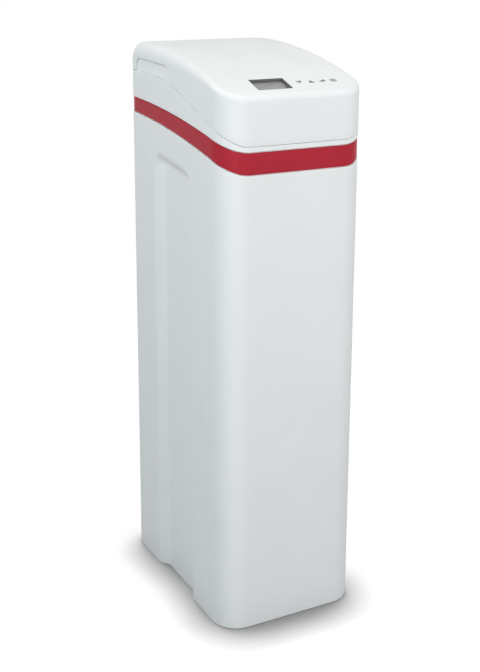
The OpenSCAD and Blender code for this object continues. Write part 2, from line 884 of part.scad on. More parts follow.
// Cross-section of the left finger scoop, in x and z
scoop_x = -side_x + collar_t - lip_fit;
scoop_bend = ledge_z - scoop_drop;
scoop_top = ledge_at(notch_front + notch_l) + notch_h + scoop_rise;
scoop_section = [
    [scoop_x, scoop_bend - scoop_root],
    [scoop_x, scoop_bend],
    [scoop_x + scoop_depth, scoop_top],
    [scoop_x + scoop_depth + scoop_t, scoop_top],
    [scoop_x + scoop_t, scoop_bend - scoop_t],
    [scoop_x + scoop_t, scoop_bend - scoop_root]
];

module collar() color(white) {
    intersection() {
        plan_ring(0, collar_t, band_front_z, seam_rear_z);
        between(run_on(band_top), run_on(seam, -seam_gap / 2));
    }
    difference() {
        intersection() {
            plan_ring(lip_inset, lip_inset + lip_t, band_front_z, seam_rear_z + 2 * lip_rise);
            between(run_on(seam, -lip_root), run_on(seam, lip_rise));
        }
        translate([-side_x, notch_front, ledge_z - seam_gap]) cube([cabinet_w, notch_l, notch_h]);
    }
    both_sides() translate([0, notch_front + notch_l + scoop_margin, 0]) rotate([90, 0, 0])
        linear_extrude(notch_l + 2 * scoop_margin) polygon(scoop_section);
    for (s = [-1, 1], e = [-1, 1]) {
        mid = s * hinge_x + e * (lid_barrel_l / 2 + barrel_gap + collar_barrel_l / 2);
        hinge_barrel(mid - collar_barrel_l / 2, mid + collar_barrel_l / 2, false);
    }
}

// Lid shell: rings of points from the seam up the wall, round the top edge and over the arch
crest_y = rear_y - crest_back;
lid_top_z = seam_front_z + lid_front_h + top_r - sqrt(pow(top_r, 2) - pow(crest_y - front_y, 2));
function top_z(y) = lid_top_z - top_r + sqrt(pow(top_r, 2) - pow(y - crest_y, 2));

// Steps round a corner and along the straight run after it
corner_steps = 8;
run_steps = [4, 12, 4, 12];
// Side, end, radius and first angle of each corner
corners = [[-1, -1, front_r, 180], [1, -1, front_r, 270], [1, 1, rear_r, 0], [-1, 1, rear_r, 90]];

function corner_point(c, inset, a) = [
    c[0] * (side_x - c[2]) + (c[2] - inset) * cos(a),
    c[1] * (rear_y - c[2]) + (c[2] - inset) * sin(a)
];
function outline(inset) = [
    for (k = [0 : 3])
        let (
            c = corners[k],
            n = corners[(k + 1) % 4],
            last = corner_point(c, inset, c[3] + 90),
            next = corner_point(n, inset, n[3])
        )
        each concat(
            [for (j = [0 : corner_steps]) corner_point(c, inset, c[3] + 90 * j / corner_steps)],
            [for (j = [1 : run_steps[k] - 1]) last + (next - last) * j / run_steps[k]]
        )
];
function wall_rings(inset, r, drop) = [
    [for (p = outline(inset)) [p[0], p[1], seam_z(p[1]) + seam_gap / 2]],
    [for (p = outline(inset)) [p[0], p[1], top_z(p[1]) - drop - r]]
];
function edge_rings(inset, r, drop, steps) = [
    for (j = [1 : steps])
        let (a = 90 * j / steps)
        [for (p = outline(inset + r * (1 - cos(a)))) [p[0], p[1], top_z(p[1]) - drop - r * (1 - sin(a))]]
];
function top_rings(inset, drop, steps) = [
    for (j = [1 : steps - 1])
        let (s = 1 - j / steps)
        [for (p = outline(inset)) [s * p[0], s * p[1], top_z(s * p[1]) - drop]]
];
function shell_rings(inset, r, drop, edge_steps, top_steps) = concat(
    wall_rings(inset, r, drop),
    edge_rings(inset, r, drop, edge_steps),
    top_rings(inset + r, drop, top_steps)
);

// Triangles between ring i and ring k of n points, and from ring i to a tip
function strip(n, i, k, flip) = [
    for (j = [0 : n - 1])
        let (p = i * n + j, q = i * n + (j + 1) % n, s = k * n + j, t = k * n + (j + 1) % n)
        each flip ? [[p, q, t], [p, t, s]] : [[p, t, q], [p, s, t]]
];
function fan(n, i, tip, flip) = [
    for (j = [0 : n - 1])
        let (p = i * n + j, q = i * n + (j + 1) % n)
        flip ? [p, q, tip] : [p, tip, q]
];

// Closed skin of an outer and an inner stack of rings, joined along their lowest rings
module double_skin(outer, inner, outer_tip, inner_tip) {
    n = len(outer[0]);
    a = len(outer);
    b = a + len(inner);
    polyhedron(
        points = concat([for (ring = concat(outer, inner)) each ring], [outer_tip, inner_tip]),
        faces = concat(
            [for (i = [0 : a - 2]) each strip(n, i, i + 1, false)],
            fan(n, a - 1, n * b, false),
            [for (i = [a : b - 2]) each strip(n, i, i + 1, true)],
            fan(n, b - 1, n * b + 1, true),
            strip(n, 0, a, true)
        )
    );
}

outer_edge_steps = 6;
outer_top_steps = 6;
inner_edge_steps = 3;
inner_top_steps = 4;
module lid_shell() double_skin(
    shell_rings(0, edge_r, 0, outer_edge_steps, outer_top_steps),
    shell_rings(lid_wall, edge_r - lid_wall, lid_wall, inner_edge_steps, inner_top_steps),
    [0, 0, top_z(0)],
    [0, 0, top_z(0) - lid_wall]
);

// Control panel: its frame lies on the sloping top, with Z out of the lid
panel_y = front_y + panel_back;
panel_tilt = asin((crest_y - panel_y) / top_r);
under_lid = lid_wall + under_gap;
module on_panel() translate([0, panel_y, top_z(panel_y)]) rotate([panel_tilt, 0, 0]) children();
module at_display() on_panel() translate([display_x, 0, 0]) children();
module at_key(i) on_panel() translate([key_x + i * key_pitch, 0, 0]) children();
module board_corners() on_panel() for (x = [-1, 1], y = [-1, 1])
    translate([x * (board_w / 2 - board_inset), y * (board_l / 2 - board_inset), -board_depth]) children();

// Plate with round corners from depth d1 up to depth d0 below the lid's face
module panel_plate(w, l, r, d0, d1) translate([0, 0, -d1]) linear_extrude(d1 - d0) round_rect(w, l, r);

module lid() color(white) difference() {
    union() {
        lid_shell();
        for (s = [-1, 1])
            hinge_barrel(s * hinge_x - lid_barrel_l / 2, s * hinge_x + lid_barrel_l / 2, true);
        board_corners() cylinder(r = post_r, h = board_depth - lid_wall / 2);
    }
    at_display() panel_plate(display_w, display_l, display_r, -over, under_lid + over);
    for (i = [0 : 3]) at_key(i)
        panel_plate(key_w + 2 * key_gap, key_l + 2 * key_gap, key_r + key_gap, -over, under_lid);
    board_corners() z_rod(board_screw_r + screw_fit, -over, board_grip + eps);
    both_sides() x_extrude(-side_x - over, -side_x + under_lid) notch_outline();
}

module hinge_pins() color(steel) for (s = [-1, 1]) {
    half = lid_barrel_l / 2 + barrel_gap + collar_barrel_l;
    translate([s * hinge_x, hinge_y, hinge_z]) x_rod(pin_r, -half, half);
}

// Display stack under the opening: frame, window, display, board
window_top = under_lid + frame_lip + seat_fit / 2;
lcd_top = window_top + window_t + seat_fit / 2;
seat_gap = 2 * (seat_w - seat_fit);
ledge_w = 1;

module display_frame() color(dark) at_display() difference() {
    panel_plate(display_w + 2 * frame_border, display_l + 2 * frame_border, frame_r,
        under_lid, under_lid + frame_t);
    panel_plate(display_w - 2 * ledge_w, display_l - 2 * ledge_w, display_r, 0, under_lid + frame_t + over);
    panel_plate(display_w + 2 * seat_w, display_l + 2 * seat_w, display_r,
        under_lid + frame_lip, under_lid + frame_t + over);
}

module display_window() color(clear_grey) at_display()
    panel_plate(display_w + seat_gap, display_l + seat_gap, display_r, window_top, window_top + window_t);

module lcd_panel() color(pale_grey) at_display()
    panel_plate(display_w + seat_w, display_l + seat_w, display_r, lcd_top, board_depth);

module control_board() color(board_green) {
    difference() {
        on_panel() panel_plate(board_w, board_l, board_r, board_depth, board_depth + board_t);
        board_corners() z_rod(board_screw_r + screw_fit, -board_t - over, over);
    }
    for (i = [0 : 3]) at_key(i) translate([-switch_side / 2, -switch_side / 2, -board_depth - eps])
        cube([switch_side, switch_side, switch_h + eps]);
    on_panel() translate([-block_w / 2, -block_l / 2, -board_depth - board_t - block_h])
        cube([block_w, block_l, block_h + eps]);
}

module board_screws() color(steel) board_corners() translate([0, 0, -board_t]) mirror([0, 0, 1])
    screw(board_screw_r, board_t + board_grip);

module key(i) color(white) at_key(i) {
    flange_end = under_lid + key_flange_t;
    stem_end = board_depth - switch_h - key_travel - stop_gap;
    panel_plate(key_w, key_l, key_r, -key_proud, flange_end);
    panel_plate(key_w + 2 * key_flange, key_l + 2 * key_flange, key_r, under_lid, flange_end);
    z_rod(switch_side / 2, -stem_end, -under_lid);
}
module key_down() key(0);
module key_up() key(1);
module key_return() key(2);
module key_menu() key(3);

// Resin vessel: elliptic domes as profiles to turn, from angle t0 to t1 up from the rim
dome_steps = 10;
dome_low_z = tank_foot_z + dome_low;
dome_top_z = neck_z - tank_neck_h - dome_top * sqrt(1 - pow(tank_neck_r / tank_r, 2));
inner_r = tank_r - tank_wall;
function dome(r, b, z, t0, t1) = [
    for (i = [0 : dome_steps])
        let (t = t0 + (t1 - t0) * i / dome_steps)
        [r * cos(t), z + b * sin(t)]
];

module resin_tank() color(vessel_blue) on_tank() rotate_extrude() polygon(concat(
    dome(tank_r, -dome_low, dome_low_z, 90, 0),
    dome(tank_r, dome_top, dome_top_z, 0, acos(tank_neck_r / tank_r)),
    [[tank_neck_r, neck_z], [tank_bore_r, neck_z]],
    dome(inner_r, dome_top - tank_wall, dome_top_z, acos(tank_bore_r / inner_r), 0),
    dome(inner_r, tank_wall - dome_low, dome_low_z, 0, 90)
));

module tank_boot() color(black) on_tank() {
    r = tank_r + tank_fit;
    b = dome_low + tank_fit;
    rim = floor_t + boot_h;
    rotate_extrude() polygon(concat(
        [[boot_hole_r, floor_t], [tank_r, floor_t], [tank_r, rim]],
        dome(r, -b, dome_low_z, asin((dome_low_z - rim) / b), acos(boot_hole_r / r))
    ));
}

basket_z = tank_foot_z + tank_wall + basket_lift;
basket_top = basket_z + basket_h;
module resin_bed() color(resin_amber) on_tank() {
    r = inner_r - tank_fit;
    b = dome_low - tank_wall - tank_fit;
    surface = tank_foot_z + resin_h;
    hole = basket_r + tank_fit;
    bore = riser_r + tank_fit;
    rotate_extrude() polygon(concat(
        dome(r, -b, dome_low_z, acos(hole / r), 0),
        [[r, surface], [bore, surface], [bore, basket_top + tank_fit], [hole, basket_top + tank_fit]]
    ));
}

riser_foot = basket_z + basket_wall + riser_lift;
riser_head = neck_z + riser_grip;
module riser_tube() color(pale_grey) on_tank() difference() {
    z_rod(riser_r, riser_foot, riser_head);
    z_rod(riser_r - riser_wall, riser_foot - over, riser_head + over);
}

// Ring of upright slots through the wall of a distributor of radius r
module slots(r, z0, z1) for (i = [0 : slot_count - 1]) rotate(360 * i / slot_count)
    translate([r - 2 * basket_wall, -slot_w / 2, z0]) cube([4 * basket_wall, slot_w, z1 - z0]);

module lower_distributor() color(pale_grey) on_tank() difference() {
    z_rod(basket_r, basket_z, basket_top);
    z_rod(basket_r - basket_wall, basket_z + basket_wall, basket_top - 2 * basket_wall);
    z_rod(riser_r + riser_fit, basket_z + basket_h / 2, basket_top + over);
    slots(basket_r, basket_z + 2 * basket_wall, basket_top - 3 * basket_wall);
}

nozzle_z = neck_z - nozzle_h;
cone_z = nozzle_z - cone_h;
module upper_distributor() color(pale_grey) on_tank() difference() {
    foot_r = cone_r - cone_taper;
    translate([0, 0, cone_z]) cylinder(r1 = foot_r, r2 = cone_r, h = cone_h);
    translate([0, 0, cone_z + basket_wall])
        cylinder(r1 = foot_r - basket_wall, r2 = cone_r - basket_wall, h = cone_h);
    z_rod(riser_r + riser_fit, cone_z - over, nozzle_z);
    slots(cone_r - cone_taper / 2, cone_z + 2 * basket_wall, nozzle_z - 2 * basket_wall);
}

// Valve
flange_z = neck_z + seal_t;
barrel_z = flange_z + flange_t;
cap_z = barrel_z + barrel_body_h;
chamber_z = cap_z - rotor_t - 2 * rotor_gap;
drive_z = cap_z + cap_t;
gear_z = drive_z + base_plate_t + gear_lift;
shaft_top = gear_z + gear_t + shaft_end;
bolt_ring = (chamber_r + barrel_body_r) / 2;
socket_y = -barrel_body_r - socket_depth - socket_more;
drain_boss_r = drain_r + drain_wall;
drain_boss_x = barrel_body_r + drain_boss_l;
injector_x = -barrel_body_r - injector_l;
injector_screw_z = injector_r - injector_wall / 2;

// Closed ridges of a thread round a rod along Y
module thread_ridges(r, y0, y1) {
    half = thread_pitch * 0.6;
    crest = thread_pitch / 10;
    translate([0, y0, 0]) rotate([-90, 0, 0]) for (i = [1 : floor((y1 - y0) / thread_pitch)])
        translate([0, 0, thread_pitch * (i - 0.5)]) rotate_extrude()
            polygon([[r - thread_depth, -half], [r, -crest], [r, crest], [r - thread_depth, half]]);
}

module ring_places(count, r) for (i = [0 : count - 1]) rotate(360 * (i + 0.5) / count)
    translate([r, 0, 0]) children();
module injector_screw_places() translate([0, tank_y, port_z]) for (z = [-1, 1])
    translate([0, 0, z * injector_screw_z]) children();

module valve_solid() {
    z_rod(tank_bore_r - tank_fit, nozzle_z, flange_z + eps);
    z_rod(flange_r, flange_z, barrel_z);
    z_rod(barrel_body_r, barrel_z - eps, cap_z);
    on_ports() {
        y_rod(port_r, 0, port_reach - port_thread_l + eps);
        y_rod(port_thread_r - thread_depth, port_reach - port_thread_l, port_reach);
        thread_ridges(port_thread_r, port_reach - port_thread_l, port_reach);
    }
    translate([0, 0, port_z]) {
        x_rod(drain_boss_r, 0, drain_boss_x);
        x_rod(injector_r, injector_x, 0);
        translate([line_x, 0, 0]) y_rod(socket_r, socket_y, 0);
    }
}

module valve_passages() {
    z_rod(riser_r + riser_fit, nozzle_z - over, port_z - port_bore_r);
    ring_places(4, (tank_bore_r + riser_r) / 2) z_rod(passage_r, nozzle_z - over, flange_z);
    z_rod(chamber_r, chamber_z, cap_z + over);
    for (x = [-rotor_port_x, rotor_port_x]) translate([x, 0, 0]) z_rod(passage_r, port_z, cap_z);
    on_ports() y_rod(port_bore_r, -passage_r, port_reach + over);
    translate([0, 0, port_z]) {
        x_rod(drain_r + riser_fit, drain_boss_x - drain_depth, drain_boss_x + over);
        x_rod(drain_bore_r, rotor_port_x, drain_boss_x);
        x_rod(injector_r - injector_wall, injector_x - over, -barrel_body_r);
        translate([line_x, 0, 0]) {
            y_rod(line_r + line_fit, socket_y - over, socket_y + socket_depth);
            y_rod(line_r - line_wall, socket_y, -port_bore_r);
        }
    }
    ring_places(cap_count, bolt_ring) z_rod(cap_screw_r + screw_fit, cap_z - cap_grip - eps, cap_z + over);
}

module valve_body() color(dark) difference() {
    on_tank() difference() {
        valve_solid();
        valve_passages();
    }
    injector_screw_places()
        x_rod(injector_screw_r + screw_fit, injector_x - over, injector_x + injector_grip + eps);
}

module base_seal() color(black) on_tank() difference() {
    z_rod(tank_neck_r, neck_z, flange_z);
    z_rod(tank_bore_r, neck_z - over, flange_z + over);
}

module valve_rotor() color(pale_grey) on_tank() {
    z0 = chamber_z + rotor_gap;
    difference() {
        z_rod(chamber_r - rotor_gap, z0, z0 + rotor_t);
        for (x = [-rotor_port_x, rotor_port_x]) translate([x, 0, 0])
            z_rod(passage_r, z0 - over, z0 + rotor_t + over);
    }
    z_rod(stem_r, z0, shaft_top);
}

cap_seat = drive_z - cap_sink - head_h;
module valve_cap() color(dark) on_tank() difference() {
    z_rod(barrel_body_r + cap_edge, cap_z, drive_z);
    z_rod(stem_r + shaft_fit, cap_z - over, drive_z + over);
    ring_places(cap_count, bolt_ring) {
        z_rod(cap_screw_r + screw_fit, cap_z - over, drive_z);
        z_rod(head_ratio * cap_screw_r + 2 * screw_fit, cap_seat, drive_z + over);
    }
}

module cap_screws() color(steel) on_tank() ring_places(cap_count, bolt_ring) translate([0, 0, cap_seat])
    screw(cap_screw_r, cap_seat - cap_z + cap_grip);

// Pipe tails, union nuts and drain
port_end = tank_y + port_reach;
tail_y = port_end + tail_gap;
tail_flange_y = tail_y + tail_flange_t;
tail_end = rear_y + tail_out;
tail_neck_r = tail_thread_r - tail_step;
nut_end = tail_flange_y + tail_gap + nut_lip;
module tail(s) color(pale_grey) translate([s * port_pitch / 2, 0, port_z]) difference() {
    union() {
        y_rod(port_thread_r - thread_depth, tail_y, tail_flange_y);
        y_rod(tail_neck_r, tail_y, tail_end - eps);
        y_rod(tail_thread_r, tail_end - tail_thread_l, tail_end);
    }
    y_rod(port_bore_r, tail_y - over, tail_end + over);
}
module inlet_tail() tail(-1);
module outlet_tail() tail(1);

module union_nuts() color(black) on_ports() difference() {
    y_rod(nut_r, nut_end - nut_l, nut_end, 6);
    y_rod(port_thread_r + nut_fit, nut_end - nut_l - over, nut_end - nut_lip);
    y_rod(tail_neck_r + nut_fit, nut_end - nut_l, nut_end + over);
}

// Hose barbs on a rod of radius r along Y that ends at y1
module barbs(r, y1) for (i = [1 : barb_count]) translate([0, y1 - barb_pitch * i, 0]) rotate([-90, 0, 0])
    cylinder(r1 = r + barb_h, r2 = r, h = barb_l);

module drain_elbow() color(black) translate([0, tank_y, port_z]) {
    reach = tail_end - tank_y;
    difference() {
        union() {
            x_rod(drain_r, drain_boss_x - drain_depth, drain_x);
            x_rod(drain_boss_r, drain_boss_x, drain_boss_x + drain_collar_t);
            translate([drain_x, 0, 0]) {
                sphere(drain_r);
                y_rod(drain_r, 0, reach);
                barbs(drain_r, reach);
            }
        }
        x_rod(drain_bore_r, drain_boss_x - drain_depth - over, drain_x);
        translate([drain_x, 0, 0]) y_rod(drain_bore_r, 0, reach + over);
    }
}

injector_seat = injector_x - injector_cover_t;
module injector_cover() color(black) difference() {
    translate([0, tank_y, port_z]) x_rod(injector_r, injector_seat, injector_x);
    injector_screw_places() x_rod(injector_screw_r + screw_fit, injector_seat - over, injector_x + over);
}

module injector_screws() color(steel) injector_screw_places() translate([injector_seat, 0, 0])
    rotate([0, -90, 0]) screw(injector_screw_r, injector_cover_t + injector_grip);

// Gears with involute flanks, one tooth centred on the X axis
flank_steps = 3;
pressure_deg = 20;
tooth_top = 0.85;
tooth_root = 1.15;
function roll_deg(t) = t * 180 / PI - atan(t);
function gear_points(teeth) =
    let (
        rp = gear_module * teeth / 2,
        rb = rp * cos(pressure_deg),
        ra = rp + tooth_top * gear_module,
        rd = rp - tooth_root * gear_module,
        roll = sqrt(pow(ra / rb, 2) - 1),
        start = rd < rb ? 0 : sqrt(pow(rd / rb, 2) - 1),
        base = (90 - 180 * gear_play) / teeth + roll_deg(tan(pressure_deg)),
        flank = [for (i = [0 : flank_steps])
            let (t = start + (roll - start) * i / flank_steps)
            [rb * sqrt(1 + t * t), roll_deg(t) - base]],
        rise = concat(rd < rb ? [[rd, -base]] : [], flank),
        tooth = concat(rise, [for (p = reverse(rise)) [p[0], -p[1]]])
    )
    [for (k = [0 : teeth - 1], p = tooth) p[0] * [cos(p[1] + 360 * k / teeth), sin(p[1] + 360 * k / teeth)]];

drive_r = gear_module * drive_teeth / 2;
idler_r = gear_module * idler_teeth / 2;
pinion_r = gear_module * pinion_teeth / 2;
// Directions from gear to gear; the pinion's is the tooth of the idler nearest to the aim
idler_dir = 225;
pinion_aim = 270;
idler_turn = idler_dir + 180 + 180 / idler_teeth;
pinion_dir = idler_turn + round((pinion_aim - idler_turn) * idler_teeth / 360) * 360 / idler_teeth;
pinion_turn = pinion_dir + 180 + 180 / pinion_teeth;
function along(at, r, a) = at + r * [cos(a), sin(a)];
drive_at = [0, tank_y];
idler_at = along(drive_at, drive_r + idler_r, idler_dir);
pinion_at = along(idler_at, idler_r + pinion_r, pinion_dir);
module at(p) translate([p[0], p[1], 0]) children();

module gear(teeth, turn, bore) translate([0, 0, gear_z]) linear_extrude(gear_t) difference() {
    rotate(turn) polygon(gear_points(teeth));
    circle(bore);
}

module drive_gear() color(pale_grey) at(drive_at) gear(drive_teeth, idler_dir, stem_r + shaft_fit / 2);
module idler_gear() color(pale_grey) at(idler_at) gear(idler_teeth, idler_turn, idler_post_r + shaft_fit);
module motor_pinion() color(steel) at(pinion_at) {
    gear(pinion_teeth, pinion_turn, motor_shaft_r / 2);
    z_rod(motor_shaft_r, drive_z - motor_h / 2, shaft_top);
}

// Outline of the drive with room round the gears, grown by more, and the ears for its screws
drive_room = drive_r + gear_module + cover_room;
idler_room = idler_r + gear_module + cover_room;
module drive_outline(more) hull() {
    at(drive_at) circle(drive_room + more);
    at(idler_at) circle(idler_room + more, $fn = hull_fn);
    at(pinion_at) circle(motor_r + more, $fn = hull_fn);
}
drive_ear_dirs = [20, 140];
motor_ear_dir = 290;
ears = concat(
    [for (a = drive_ear_dirs) along(drive_at, drive_room + ear_out, a)],
    [along(pinion_at, motor_r + ear_out, motor_ear_dir)]
);
module ear_places() for (e = ears) at(e) children();

cover_z = drive_z + base_plate_t;
module drive_plate() color(dark) {
    difference() {
        translate([0, 0, drive_z]) linear_extrude(base_plate_t) {
            drive_outline(0);
            ear_places() circle(ear_r);
        }
        at(drive_at) z_rod(stem_r + shaft_gap, drive_z - over, cover_z + over);
        at(pinion_at) z_rod(motor_shaft_r + shaft_gap, drive_z - over, cover_z + over);
        ear_places() z_rod(drive_screw_r + screw_fit, drive_z - over, cover_z + over);
    }
    at(idler_at) z_rod(idler_post_r, cover_z - eps, shaft_top);
}

module drive_motor() color(steel) at(pinion_at) difference() {
    z_rod(motor_r, drive_z - motor_h, drive_z);
    z_rod(motor_shaft_r + shaft_fit, drive_z - motor_h / 2 - stop_gap, drive_z + over);
}

module drive_cover() color(black) difference() {
    union() {
        translate([0, 0, cover_z]) linear_extrude(cover_h) drive_outline(0);
        ear_places() z_rod(ear_r, cover_z, cover_z + ear_h);
    }
    translate([0, 0, cover_z - over]) linear_extrude(over + cover_h - cover_wall) drive_outline(-cover_wall);
    ear_places() z_rod(drive_screw_r + screw_fit, cover_z - over, cover_z + ear_h + over);
    ear_places() z_rod(head_ratio * drive_screw_r + screw_fit, cover_z + ear_h, cover_z + cover_h + over);
}

module cover_screws() color(steel) ear_places() translate([0, 0, cover_z + ear_h])
    screw(drive_screw_r, ear_h + base_plate_t);

// Brine line: a tube from the well's socket to the valve's socket, straight in both
well_rim = floor_t + well_h;
brine_valve_z = well_rim - brine_valve_drop;
outlet_z = brine_valve_z + brine_valve_h - socket_r - outlet_edge;
outlet_x = -well_r - outlet_reach;
line_run = socket_depth + brine_nut_l + stop_gap;
line_a = [well_x + outlet_x + socket_depth, well_y, outlet_z];
line_b = [line_x, tank_y + socket_y + socket_depth, port_z];
bend_a = [-45, 0, 0];
bend_b = [0, -75, 0];
function bezier(p, q, r, s, t) =
    pow(1 - t, 3) * p + 3 * pow(1 - t, 2) * t * q + 3 * (1 - t) * t * t * r + pow(t, 3) * s;
line_steps = 10;
line_route = concat([line_a], [for (i = [0 : line_steps])
    let (a = line_a - [line_run, 0, 0], b = line_b - [0, line_run, 0])
    bezier(a, a + bend_a, b + bend_b, b, i / line_steps)], [line_b]);
line_sides = 12;
function unit(v) = v / norm(v);

module tube_along(route, r, sides) {
    n = len(route);
    points = [
        for (i = [0 : n - 1])
            let (
                t = unit(route[min(i + 1, n - 1)] - route[max(i - 1, 0)]),
                u = unit(cross([0, 0, 1], t)),
                v = cross(t, u)
            )
            for (j = [0 : sides - 1]) route[i] + r * (cos(360 * j / sides) * u + sin(360 * j / sides) * v)
    ];
    polyhedron(points = points, faces = concat(
        [[for (j = [0 : sides - 1]) j]],
        [for (i = [0 : n - 2]) each strip(sides, i, i + 1, false)],
        [[for (j = [0 : sides - 1]) n * sides - 1 - j]]
    ));
}
module brine_line() color(clear_grey) tube_along(line_route, line_r, line_sides);

module brine_nut() color(black) translate([line_x, tank_y + socket_y - stop_gap, port_z]) difference() {
    y_rod(socket_r + brine_nut_edge, -brine_nut_l, 0, 6);
    y_rod(line_r + line_fit, -brine_nut_l - over, over);
}

// Brine well with its cap, valve, pickup and float
module brine_well() color(clear_grey) on_well() difference() {
    z_rod(well_r, floor_t, well_rim);
    z_rod(well_r - well_wall, floor_t - over, well_rim + over);
    for (i = [0 : well_slots - 1]) rotate(360 * (i + 0.5) / well_slots)
        translate([0, -well_slot_w / 2, floor_t + well_slot_z]) cube([well_r + over, well_slot_w, well_slot_h]);
    translate([0, 0, outlet_z]) x_rod(socket_r + stop_gap, -well_r - over, 0);
}

module brine_well_cap() color(black) on_well() {
    inside_r = well_r + cap_fit;
    difference() {
        z_rod(inside_r + cap_wall, well_rim - cap_skirt, well_rim + cap_plate_t);
        z_rod(inside_r, well_rim - cap_skirt - over, well_rim);
    }
    translate([0, 0, well_rim + cap_plate_t - eps]) cylinder(r1 = knob_r, r2 = knob_r - knob_taper, h = knob_h);
}

arm_top = brine_valve_z + arm_t;
module brine_valve() color(black) on_well() difference() {
    union() {
        z_rod(brine_valve_r, brine_valve_z, brine_valve_z + brine_valve_h);
        translate([0, -arm_w / 2, brine_valve_z]) cube([rod_off, arm_w, arm_t]);
        translate([rod_off, 0, 0]) z_rod(arm_w / 2, brine_valve_z, arm_top);
        translate([0, 0, outlet_z]) x_rod(socket_r, outlet_x, 0);
    }
    z_rod(pickup_r + pickup_fit, brine_valve_z - over, brine_valve_z + socket_depth);
    z_rod(pickup_r - pickup_wall, brine_valve_z, outlet_z);
    translate([rod_off, 0, 0]) z_rod(rod_r + rod_fit, brine_valve_z - over, arm_top + over);
    translate([0, 0, outlet_z]) {
        x_rod(line_r + line_fit, outlet_x - over, outlet_x + socket_depth);
        x_rod(line_r - line_wall, outlet_x, 0);
    }
}

check_top = floor_t + check_h;
module pickup_tube() color(clear_grey) on_well() difference() {
    foot = check_top - check_grip;
    head = brine_valve_z + socket_depth - stop_gap;
    z_rod(pickup_r, foot, head);
    z_rod(pickup_r - pickup_wall, foot - over, head + over);
}

module air_check() color(black) on_well() {
    cage_floor = floor_t + check_wall;
    ceiling = check_top - check_head;
    difference() {
        z_rod(check_r, floor_t, check_top);
        z_rod(check_r - check_wall, cage_floor, ceiling);
        z_rod(pickup_r + pickup_fit, ceiling - over, check_top + over);
        for (a = [0, 90]) rotate(a) translate([-check_r - over, -check_window_w / 2, cage_floor + check_wall])
            cube([2 * (check_r + over), check_window_w, ceiling - cage_floor - 2 * check_wall]);
    }
}

module check_ball() color(white) on_well()
    translate([0, 0, floor_t + check_wall + ball_gap + ball_r]) sphere(ball_r);

float_foot = floor_t + float_z;
float_top = float_foot + float_h;
module float() color(white) on_well() difference() {
    z_rod(float_r, float_foot, float_top);
    z_rod(pickup_r + float_gap, float_foot - over, float_top + over);
    translate([rod_off, 0, 0]) z_rod(rod_r + rod_fit, float_top - float_grip - eps, float_top + over);
}

module float_rod() color(steel) on_well() translate([rod_off, 0, 0]) {
    z_rod(rod_r, float_top - float_grip, arm_top + stop_h + rod_above);
    z_rod(stop_r, arm_top, arm_top + stop_h);
}

// Rear fittings
module overflow_elbow() color(black) at_overflow() difference() {
    inner = rear_y - wall - overflow_in;
    union() {
        y_rod(overflow_r, inner, rear_y + eps);
        y_rod(overflow_flange_r, rear_y, rear_y + overflow_flange_t);
        y_rod(drain_r, rear_y, tail_end);
        barbs(drain_r, tail_end);
    }
    y_rod(drain_bore_r, inner - over, tail_end + over);
}

module overflow_nut() color(black) at_overflow() difference() {
    inner = rear_y - wall;
    y_rod(overflow_flange_r + overflow_nut_edge, inner - overflow_nut_t, inner, 6);
    y_rod(overflow_r + nut_fit, inner - overflow_nut_t - over, inner + over);
}

module power_inlet() color(black) at_power() {
    difference() {
        union() {
            y_rod(power_r, rear_y - power_depth, rear_y + eps);
            y_rod(power_r + power_flange, rear_y, rear_y + power_flange_t);
        }
        y_rod(plug_r, rear_y - plug_depth, rear_y + over);
    }
    y_rod(contact_r, rear_y - plug_depth - eps, rear_y);
}

module rear_plate() color(white) difference() {
    rear_panel(window_w + 2 * plate_lap, window_h + 2 * plate_lap_z, rear_y, rear_y + plate_t);
    on_ports() through_rear(tail_thread_r + plate_gap);
    translate([drain_x, 0, port_z]) through_rear(drain_r + barb_h + plate_gap);
    plate_screw_places() through_rear(plate_screw_r + screw_fit);
}

module plate_screws() color(steel) plate_screw_places() translate([0, rear_y + plate_t, 0]) rotate([-90, 0, 0])
    screw(plate_screw_r, plate_t + wall + plate_grip);

// Salt grid
grid_inset = wall + grid_gap;
grid_front = front_y + grid_inset;
grid_left = -side_x + grid_inset + grid_edge;
grid_right = well_x - well_r;
grid_columns = floor((grid_right - grid_left) / grid_pitch);
grid_rows = floor((grid_l - 2 * grid_edge) / grid_pitch);
module salt_grid() color(white) {
    leg_x = [grid_left + grid_pitch / 2, grid_left + grid_pitch * (grid_columns - 0.5)];
    leg_y = [grid_front + grid_edge + grid_pitch / 2, grid_front + grid_edge + grid_pitch * (grid_rows - 0.5)];
    translate([0, 0, floor_t + grid_z]) linear_extrude(grid_t) difference() {
        intersection() {
            plan(grid_inset);
            translate([-side_x, grid_front]) square([cabinet_w, grid_l]);
        }
        translate([well_x, well_y]) circle(well_r + grid_gap);
        for (i = [0 : grid_columns], j = [0 : grid_rows])
            translate([grid_left + i * grid_pitch, grid_front + grid_edge + j * grid_pitch])
                circle(grid_hole_r);
    }
    for (x = leg_x, y = leg_y) at([x, y]) z_rod(grid_leg_r, floor_t, floor_t + grid_z + eps);
}

cabinet();
trim_band();
collar();
lid();
hinge_pins();
display_frame();
display_window();
lcd_panel();
control_board();
board_screws();
key_down();
key_up();
key_return();
key_menu();
resin_tank();
tank_boot();
resin_bed();
riser_tube();
lower_distributor();
upper_distributor();
valve_body();
base_seal();
valve_rotor();
valve_cap();
cap_screws();
inlet_tail();
outlet_tail();
union_nuts();
drain_elbow();
injector_cover();
injector_screws();
drive_plate();
drive_motor();
motor_pinion();
idler_gear();
drive_gear();
drive_cover();
cover_screws();
brine_nut();
brine_line();
brine_well();
brine_well_cap();
brine_valve();
pickup_tube();
air_check();
check_ball();
float();
float_rod();
overflow_elbow();
overflow_nut();
power_inlet();
rear_plate();
plate_screws();
salt_grid();
